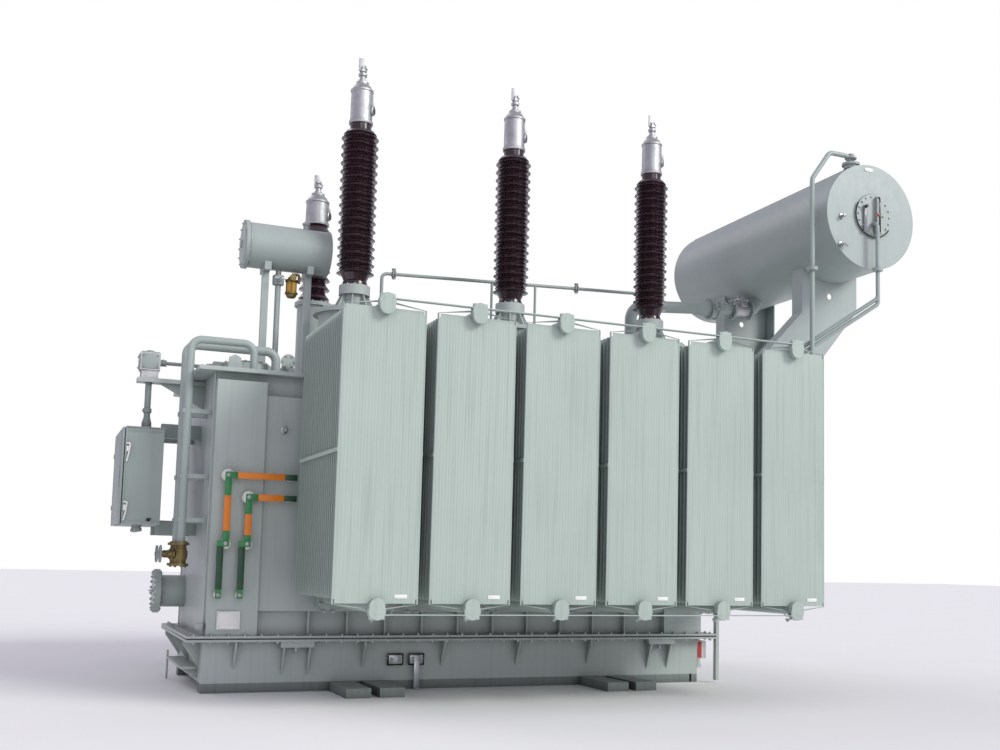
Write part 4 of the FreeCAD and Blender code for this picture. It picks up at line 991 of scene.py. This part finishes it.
level_mark.block((gauge.x - 0.004, gauge_face - 0.006, gauge.z - 0.018),
                 (gauge.x + 0.036, gauge_face + 0.002, gauge.z - 0.008), 0.002)
piece("gauge_green_mark", level_mark, green_sleeve)

# %% [markdown]
# ## Conservator pipework
# Flanges on the main pipe are bolted face to face. The gas relay between them has a sight
# window and small cocks on top. Clamps hold the thin pipes, and the breathing can has a clear
# drum of drying gel between its cast ends.

# %% Fit the pipework
relay = middle("gas_relay")
slope = Vector((1.325, 0, 0.100)).normalized()
pipe_bolts, relay_parts = Shape(), Shape()
line_start = Vector((low("main_oil_pipe").x + 0.092, relay.y, cover.z + 1.031))


def on_line(x):
    """Point on the axis of the rising oil pipe."""
    return line_start + slope * ((x - line_start.x) / slope.x)


for dx, way in ((-0.622, -1), (-0.586, 1), (-0.400, -1), (-0.194, 1)):
    pipe_bolts.bolt_ring(on_line(axis.x + dx), slope * way, 0.075, 8, 0.011)
pipe_bolts.bolt_ring((line_start.x, relay.y, cover.z + 0.018), Z, 0.075, 8, 0.011)
relay_top = high("gas_relay").z
relay_parts.block((relay.x - 0.058, relay.y - 0.063, relay_top - 0.010),
                  (relay.x + 0.058, relay.y + 0.063, relay_top + 0.008), 0.003)
for dx in (-0.045, 0.0, 0.045):
    for dy in (-0.050, 0.050):
        relay_parts.bolt((relay.x + dx, relay.y + dy, relay_top + 0.008), Z, 0.008)
for dx in (-0.022, 0.022):
    relay_parts.turn([(0.009, 0), (0.009, 0.020), (0.014, 0.022), (0.014, 0.032), (0.006, 0.036)],
                     (relay.x + dx, relay.y, relay_top + 0.008), Z, 12)
relay_parts.block((relay.x - 0.036, relay.y - 0.070, relay_top - 0.070),
                  (relay.x + 0.036, relay.y - 0.054, relay_top - 0.026), 0.004)
piece("main_pipe_bolts", pipe_bolts, zinc_plate)
piece("gas_relay_lid_and_window", relay_parts, cast_aluminium)

valve_body = Shape()
valve_at = on_line(axis.x - 0.604)
valve_body.turn([(0.100, -0.045), (0.100, -0.020), (0.070, -0.016), (0.070, 0.016), (0.100, 0.020),
                 (0.100, 0.045)], valve_at, slope, 32)
valve_body.turn([(0.030, 0.05), (0.030, 0.11), (0.018, 0.115), (0.010, 0.12), (0.010, 0.165)],
                valve_at, -Y, 20)
valve_body.tube(circle(valve_at - Y * 0.158, Y, 0.055, 28), 0.006, 8, closed=True)
for spoke in (Vector((0.053, 0, 0.004)), Vector((0.004, 0, 0.053))):
    valve_body.block(valve_at - spoke - Y * 0.162, valve_at + spoke - Y * 0.154, 0.002)
valve_body.turn([(0.054, 0.0), (0.072, 0.09), (0.072, 0.16)], on_line(axis.x - 0.800), slope, 32)
piece("main_pipe_valve", valve_body, pipe_enamel)

clamps = Shape()
gas_left = low("gas_collecting_pipe").x + 0.014
GAS_RISE = 0.104 / 2.420
for along in (0.10, 1.76):
    spot = Vector((gas_left + along, relay.y, cover.z + 1.048 + along * GAS_RISE))
    clamps.turn([(0.026, -0.016), (0.030, -0.014), (0.030, -0.004), (0.017, -0.002), (0.017, 0.002),
                 (0.030, 0.004), (0.030, 0.014), (0.026, 0.016)], spot, X, 20)
    clamps.turn([(0.012, 0), (0.012, 0.035), (0.018, 0.036), (0.018, 0.046)], spot, Z, 12)
    clamps.turn([(0.010, 0), (0.010, 0.030), (0.016, 0.031), (0.016, 0.040)], spot, -Z, 12)
clamps.bolt_ring((axis.x + 0.008, front - 0.061, axis.z - radius - 0.006), Z, 0.032, 4, 0.007)
clamps.bolt_ring((breather_x, breather_y, axis.z - radius - 0.023), Z, 0.036, 4, 0.008)
clamps.turn([(0.046, 0), (0.050, 0.004), (0.050, 0.012), (0.030, 0.016), (0.030, 0.040),
             (0.022, 0.046)], (axis.x - 0.122, breather_y, high("breather_pipe").z - 0.044), Z, 24)
piece("pipe_clamps_and_cocks", clamps, pipe_enamel)


def cage(shape, place, count, start, radius, foot, top, rod):
    """Upright rods in a ring, as round a sight drum."""
    for i in range(count):
        angle = start + i * 2 * math.pi / count
        side = Vector((radius * math.cos(angle), radius * math.sin(angle), 0))
        shape.tube([Vector(place) + side + Z * foot, Vector(place) + side + Z * top], rod, 8)


dryer = Shape()
dryer_at = Vector((breather_x, breather_y, low("breather_pipe").z))
dryer.turn([(0.078, 0.04), (0.082, 0.044), (0.082, 0.060), (0.078, 0.062), (0.078, 0.270),
            (0.082, 0.272), (0.082, 0.290), (0.070, 0.300)], dryer_at, Z, 36)
cage(dryer, dryer_at, 4, math.pi / 4, 0.083, 0.05, 0.285, 0.005)
piece("breather_drum", dryer, silica_gel)

# %% [markdown]
# ## Tap-changer conservator
# The small vessel has a bolted flange on its left end, welds where its posts meet it, and a
# brass breather with a sight drum hanging below. A valve sits in its oil pipe.

# %% Fit the small conservator
small_low, small_high = low("small_conservator"), high("small_conservator")
small_axis = Vector((small_low.x, middle("small_conservator").y, middle("small_conservator").z))
SMALL_RADIUS = 0.175
vessel = Shape()
vessel.bolt_ring(small_axis, -X, 0.176, 14, 0.009)
vessel.bolt_ring(small_axis + X * 0.028, X, 0.181, 14, 0.008)
for x in (small_high.x - 0.004, small_low.x + 0.034):
    ring_bead(vessel, (x, small_axis.y, small_axis.z), X, SMALL_RADIUS + 0.001, 0.005)
vessel.turn([(0.150, 0), (0.146, 0.006), (0.030, 0.010), (0.030, 0.022), (0.022, 0.026)],
            small_axis, -X, 48)
vessel.turn([(0.022, 0), (0.022, 0.040), (0.030, 0.042), (0.030, 0.058)],
            (small_high.x - 0.18, small_axis.y, small_axis.z + SMALL_RADIUS - 0.004), Z, 20)
piece("small_vessel_bolts_and_welds", vessel, conservator_enamel)

tap_pipe = middle("tap_oil_pipe")
cock = Shape()
cock_z = small_axis.z - 0.255
cock.bolt_ring((tap_pipe.x, tap_pipe.y, cock_z + 0.035), Z, 0.034, 6, 0.007)
cock.turn([(0.020, 0.03), (0.020, 0.065), (0.010, 0.068), (0.010, 0.10)],
          (tap_pipe.x, tap_pipe.y, cock_z), -Y, 16)
cock.block((tap_pipe.x - 0.045, tap_pipe.y - 0.100, cock_z - 0.007),
           (tap_pipe.x + 0.045, tap_pipe.y - 0.092, cock_z + 0.007), 0.002)
piece("tap_pipe_cock", cock, cast_aluminium)

can_at = middle("small_breather")
can_at.z = low("small_breather").z
ends, gel = Shape(), Shape()
top_z = high("small_breather").z - can_at.z
ends.turn([(0.010, 0), (0.030, 0.004), (0.040, 0.018), (0.040, 0.030), (0.050, 0.032), (0.050, 0.044),
           (0.036, 0.046)], can_at, Z, 32)
ends.turn([(0.036, 0.128), (0.050, 0.130), (0.050, 0.144), (0.034, 0.150), (0.026, 0.166), (0.016, 0.172),
           (0.016, top_z - 0.03)], can_at, Z, 32)
ends.turn([(0.018, 0.0), (0.018, 0.05), (0.026, 0.052), (0.026, 0.066)], can_at + Z * 0.155, -Y, 16)
ends.tube(round_path([can_at + Vector((0.0, 0, 0.19)), can_at + Vector((0.055, -0.01, 0.19)),
                      can_at + Vector((0.055, -0.01, 0.12))], 0.018), 0.011, 10)
cage(ends, can_at, 3, 0.4, 0.044, 0.036, 0.140, 0.004)
gel.turn([(0.034, 0.040), (0.036, 0.044), (0.036, 0.130), (0.034, 0.134)], can_at, Z, 32)
piece("small_breather_ends", ends, yellow_brass, replaces=["small_breather"])
piece("small_breather_gel", gel, silica_gel)

# %% [markdown]
# ## Left end: head, pipes and valves
# The tap-changer head is a bolted drum on the cover. Two oil pipes run down the wall in clamps
# to brass gate valves with handwheels. The manhole below is a bolted blank cover.

# %% Bolt the left end
head = middle("tap_changer_head")
head_x = high("tap_changer_head").x - 0.205
left = Shape()
left.bolt_ring((head_x, head.y, high("tap_changer_head").z), Z, 0.155, 16, 0.012)
left.bolt_ring((head_x, head.y, cover.z + 0.030), Z, 0.193, 16, 0.010)
left.turn([(0.140, 0), (0.134, 0.012), (0.060, 0.020), (0.020, 0.022)],
          (head_x, head.y, high("tap_changer_head").z), Z, 48)
manhole = middle("manhole_cover")
manhole.x = low("manhole_cover").x
left.bolt_ring(manhole, -X, 0.146, 20, 0.013)
left.bolt_ring(manhole + X * 0.040, X, 0.146, 20, 0.011)
grip = ((0.004, -0.05), (-0.030, -0.05), (-0.030, 0.05), (0.004, 0.05))
left.tube(round_path([manhole + X * dx + Y * dy for dx, dy in grip], 0.012), 0.006, 8)
left.bolt_ring((middle("cover_stub").x, low("cover_stub").y, cover.z + 0.086), -Y, 0.041, 6, 0.009)
piece("left_end_bolts", left, tank_enamel)

taps = Shape()
pipe_x = low("side_oil_pipes").x + 0.039
for wheel, bore in (("drain_valve_wheel", 0.033), ("filter_valve_wheel", 0.027)):
    y, z = middle(wheel).y, middle(wheel).z
    taps.bolt_ring((pipe_x, y, 1.010), Z, bore + 0.019, 4, 0.008)
    taps.bolt_ring((pipe_x, y, 0.850), -Z, bore + 0.019, 4, 0.008)
    taps.turn([(bore + 0.010, 0), (bore + 0.018, 0.020), (bore + 0.020, 0.045), (bore + 0.018, 0.070),
               (bore + 0.010, 0.090)], (pipe_x, y, 0.885), Z, 28)
    taps.turn([(0.034, 0.040), (0.034, 0.052), (0.026, 0.054)], (pipe_x, y, z), -X, 24)
    taps.turn([(0.030, 0.084), (0.022, 0.092), (0.016, 0.100)], (pipe_x, y, z), -X, 6)
piece("valve_bodies", taps, yellow_brass)
for wheel, body_name in (("drain_valve_wheel", "drain_wheel"), ("filter_valve_wheel", "filter_wheel")):
    nut = Shape()
    spot = Vector((low(wheel).x, middle(wheel).y, middle(wheel).z))
    nut.turn([(0.011, -0.002), (0.011, 0.006), (0.008, 0.008)], spot + X * 0.001, -X, 6)
    piece(f"{wheel}_nut", nut, zinc_plate, body=body_name)

# %% [markdown]
# ## Tap-changer drive
# The cubicle is folded sheet with a rain roof, white over-centre latches near the door edge and
# a small lock. The bevel gearbox has bolted lids, and the shaft couplings carry clamp bolts,
# which ride with their shafts so that the turning shows.

# %% Fit the cubicle and gearbox
door_low, door_high = low("cubicle_door"), high("cubicle_door")
shell_x = door_high.x + 0.005
near_y = door_low.y
back_x = shell_x + 0.258
housing, latches = Shape(), Shape()
housing.block((shell_x + 0.002, near_y - 0.010, door_high.z - 0.002),
              (back_x + 0.004, near_y + 0.812, door_high.z + 0.006), 0.003)
housing.block((shell_x + 0.002, near_y - 0.004, door_low.z), (shell_x + 0.014, near_y, door_high.z),
              0.0015)
for z in (door_low.z + 0.02, door_high.z - 0.03):
    housing.block((shell_x + 0.02, near_y - 0.003, z), (back_x - 0.01, near_y, z + 0.008), 0.001)
for i in range(4):
    housing.turn([(0.020, 0), (0.020, 0.020), (0.026, 0.022), (0.026, 0.040), (0.014, 0.046)],
                 (shell_x + 0.13, near_y + 0.18 + i * 0.12, door_low.z), -Z, 16)
piece("cubicle_roof_and_glands", housing, cubicle_enamel)
lever = ((0.008, -0.010, 0.118), (0.034, -0.016, 0.122), (0.026, -0.016, 0.050),
         (0.014, -0.012, -0.010))
for z in (door_low.z + 0.035, door_high.z - 0.235):
    latches.block((shell_x + 0.010, near_y - 0.012, z + 0.060), (shell_x + 0.034, near_y, z + 0.100), 0.003)
    latches.tube(round_path([(shell_x + dx, near_y + dy, z + dz) for dx, dy, dz in lever], 0.012),
                 0.006, 10)
piece("cubicle_latches", latches, white_lacquer)
lock = Shape()
lock.turn([(0.012, 0), (0.012, 0.010), (0.008, 0.012)],
          (shell_x + 0.178, near_y, door_low.z + 0.035), -Y, 16)
key = ((0.166, -0.012, 0.040), (0.178, -0.014, 0.030), (0.196, -0.012, 0.044))
lock.tube([(shell_x + dx, near_y + dy, door_low.z + dz) for dx, dy, dz in key], 0.004, 8)
piece("cubicle_lock", lock, black_slot)
door_trim = Shape()
skin = door_low.x + 0.006
door_trim.block((skin, near_y, door_low.z), (door_high.x, near_y + 0.8, door_high.z), 0.004)
mid_z = (door_low.z + door_high.z) / 2
foot, top = door_low.z + 0.05, door_high.z - 0.05
pressed = ((0.05, foot), (0.75, foot), (0.75, top), (0.05, top))
door_trim.tube([(skin + 0.001, near_y + dy, z) for dy, z in pressed], 0.003, 8, closed=True)
door_trim.turn([(0.020, 0), (0.020, 0.003), (0.014, 0.005)], (skin, near_y + 0.08, mid_z + 0.05), -X, 20)
door_trim.block((skin - 0.0055, near_y + 0.070, mid_z - 0.080),
                (skin + 0.002, near_y + 0.090, mid_z + 0.045), 0.002)
piece("door_leaf_and_handle", door_trim, cubicle_enamel, body="cubicle_door",
      replaces=["cubicle_door"])

gear_low, gear_high, gear_mid = low("bevel_gearbox"), high("bevel_gearbox"), middle("bevel_gearbox")
case_low = gear_high.z - 0.127
lids = Shape()
lids.block((gear_low.x + 0.006, gear_low.y + 0.006, gear_high.z - 0.004),
           (gear_high.x - 0.006, gear_high.y - 0.006, gear_high.z + 0.008), 0.004)
lids.block((gear_low.x + 0.010, gear_low.y - 0.006, case_low + 0.010),
           (gear_high.x - 0.010, gear_low.y + 0.004, gear_high.z - 0.010), 0.004)
lids.block((gear_low.x - 0.006, gear_low.y + 0.010, case_low + 0.010),
           (gear_low.x + 0.004, gear_high.y - 0.010, gear_high.z - 0.010), 0.004)
for dx in (-0.048, 0.048):
    for dz in (0.024, 0.103):
        lids.bolt((gear_mid.x + dx, gear_low.y - 0.006, case_low + dz), -Y, 0.007)
        lids.bolt((gear_low.x - 0.006, gear_mid.y + dx, case_low + dz), -X, 0.007)
lids.turn([(0.030, 0), (0.030, 0.012), (0.022, 0.016)],
          (gear_mid.x, gear_mid.y, gear_high.z + 0.006), Z, 20)
piece("gearbox_lids", lids, cubicle_enamel)

shaft = middle("vertical_drive_shaft")
shaft_foot = low("vertical_drive_shaft").z
coupling = Shape()
for i in range(4):
    angle = math.pi / 4 + i * math.pi / 2
    side = Vector((math.cos(angle), math.sin(angle), 0))
    coupling.bolt(Vector((shaft.x, shaft.y, shaft_foot + 0.014)) + side * 0.033, side, 0.006)
coupling.turn([(0.027, 0), (0.030, 0.003), (0.030, 0.030), (0.027, 0.033)],
              (shaft.x, shaft.y, shaft_foot + 0.10), Z, 24)
coupling.bolt((shaft.x - 0.028, shaft.y - 0.004, shaft_foot + 0.116), -X, 0.007)
piece("upright_shaft_coupling", coupling, shaft_paint, body="vertical_shaft")
cross_low, cross_high = low("horizontal_drive_shaft"), high("horizontal_drive_shaft")
coupling = Shape()
for x in (cross_low.x + 0.022, cross_high.x - 0.022):
    for i in range(3):
        angle = i * 2 * math.pi / 3
        side = Vector((0, math.cos(angle), math.sin(angle)))
        coupling.bolt(Vector((x, shaft.y, (cross_low.z + cross_high.z) / 2)) + side * 0.0235, side, 0.005)
piece("cross_shaft_coupling_bolts", coupling, zinc_plate, body="cross_shaft")

# %% [markdown]
# ## Earthing bars
# Two flat copper bars run from the core and frame links down the front corner box. They are
# sleeved orange on the long runs and green near the joints, and they stand on cream post
# insulators whose rims show as white rings.

# %% Sleeve the bars
HALF_BAR, SLEEVE = 0.019, 0.003
bar_front = low("earth_bars").y
bar_back = bar_front + 0.008
bar_right = high("earth_bars").x
bars = [(-wall.x + 0.098, 1.470), (-wall.x + 0.240, 1.325)]
KNEE, SHIFT, FOOT = 1.010, -0.034, 0.640


def sleeve(shape, x0, x1, z0, z1):
    """Sleeve round a stretch of bar."""
    shape.block((x0, bar_front - SLEEVE, z0), (x1, bar_back + SLEEVE, z1), 0.004)


orange, green, dark_green, posts, ends = Shape(), Shape(), Shape(), Shape(), Shape()
for (drop, level), split in zip(bars, (0.30, 0.36)):
    run = HALF_BAR + SLEEVE
    sleeve(orange, drop + 0.060, bar_right - 0.085, level - run, level + run)
    sleeve(dark_green, bar_right - 0.085, bar_right + 0.001, level - run * 0.95, level + run * 0.95)
    sleeve(green, drop - run, drop + 0.060, level - run, level + run)
    fall = level - KNEE
    sleeve(green, drop - run, drop + run, level - fall * split, level - run)
    sleeve(orange, drop - run, drop + run, level - fall * 0.82, level - fall * split)
    sleeve(green, drop - run, drop + run, KNEE + HALF_BAR, level - fall * 0.82)
    tail = drop + SHIFT
    sleeve(green, tail - run, drop + run, KNEE - run, KNEE + HALF_BAR)
    sleeve(dark_green, tail - run, tail + run, FOOT + 0.060, KNEE - run)
    for x, z in ((drop, level), (tail + 0.034, KNEE), (tail, FOOT + 0.025)):
        ends.bolt((x, bar_front - SLEEVE, z), -Y, 0.013)
    stands = ((drop, level, 0.070, 0.042), (tail + 0.034, KNEE - 0.004, 0.070, 0.036),
              (tail, FOOT + 0.025, 0.070, 0.024), (bar_right - 0.040, level, 0.050, 0.026))
    for x, z, off, rim in stands:
        face = -wall.y - off
        deep = face - bar_back
        posts.turn([(0.018, 0), (0.018, deep * 0.15), (rim, deep * 0.30), (rim, deep * 0.42),
                    (0.018, deep * 0.55), (rim, deep * 0.72), (rim, deep * 0.90), (0.016, deep)],
                   (x, face, z), -Y, 28)
piece("orange_sleeves", orange, orange_sleeve)
piece("green_sleeves", green, green_sleeve)
piece("dark_green_sleeves", dark_green, dark_green_sleeve)
piece("post_insulators", posts, cream_glaze, replaces=["bar_standoffs"])
piece("bar_end_bolts", ends, zinc_plate)

# %% [markdown]
# ## Name plate
# The plate stays bare: a brushed sheet in a thin frame, held by four rivets.

# %% Frame the plate
plate_low, plate_high = low("name_plate"), high("name_plate")
plate = Shape()
face = plate_low.y
corners = [(plate_low.x, plate_low.z), (plate_high.x, plate_low.z), (plate_high.x, plate_high.z),
           (plate_low.x, plate_high.z)]
plate.tube([(x, face, z) for x, z in corners], 0.004, 8, closed=True)
for x, z in corners:
    inset_x = 0.012 if x == plate_low.x else -0.012
    inset_z = 0.012 if z == plate_low.z else -0.012
    plate.turn([(0.005, 0), (0.004, 0.002), (0.002, 0.003)], (x + inset_x, face, z + inset_z), -Y, 12)
plate.block((plate_low.x + 0.010, face - 0.002, plate_low.z + 0.020),
            (plate_high.x - 0.010, face + 0.001, plate_high.z - 0.010), 0.001)
piece("name_plate_frame", plate, white_lacquer)

# %% [markdown]
# ## Floor
# A plain pale floor takes the shadow and shows that the skids carry the weight.

# %% Lay the floor
def pale_floor():
    """Matt floor with a faint unevenness."""
    finish, tree, shader, place = blank("pale_matt_floor")
    tone = patches(tree, place, 900, (0.3, 0.7, 0.0, 0.3), detail=3)
    mixed = add(tree, "Mix", MIX | {6: shade("#FAFAF9"), 7: shade("#F4F4F3")}, {0: (tone, 0)})
    tree.links.new(mixed.outputs[2], shader.inputs["Base Color"])
    shader.inputs["Roughness"].default_value = 0.9
    mesh = bpy.data.meshes.new("floor")
    size = 60
    corners = [(-size, -size, 0), (size, -size, 0), (size, size, 0), (-size, size, 0)]
    mesh.from_pydata(corners, [], [(0, 1, 2, 3)])
    mesh.materials.append(finish)
    floor = bpy.data.objects.new("floor", mesh)
    bpy.context.scene.collection.objects.link(floor)
    print("floor", 2 * size, "m square")


pale_floor()

# %% Count the faces
faces = sum(len(o.data.polygons) for o in bpy.data.objects if o.type == "MESH")
print("faces in all:", faces)
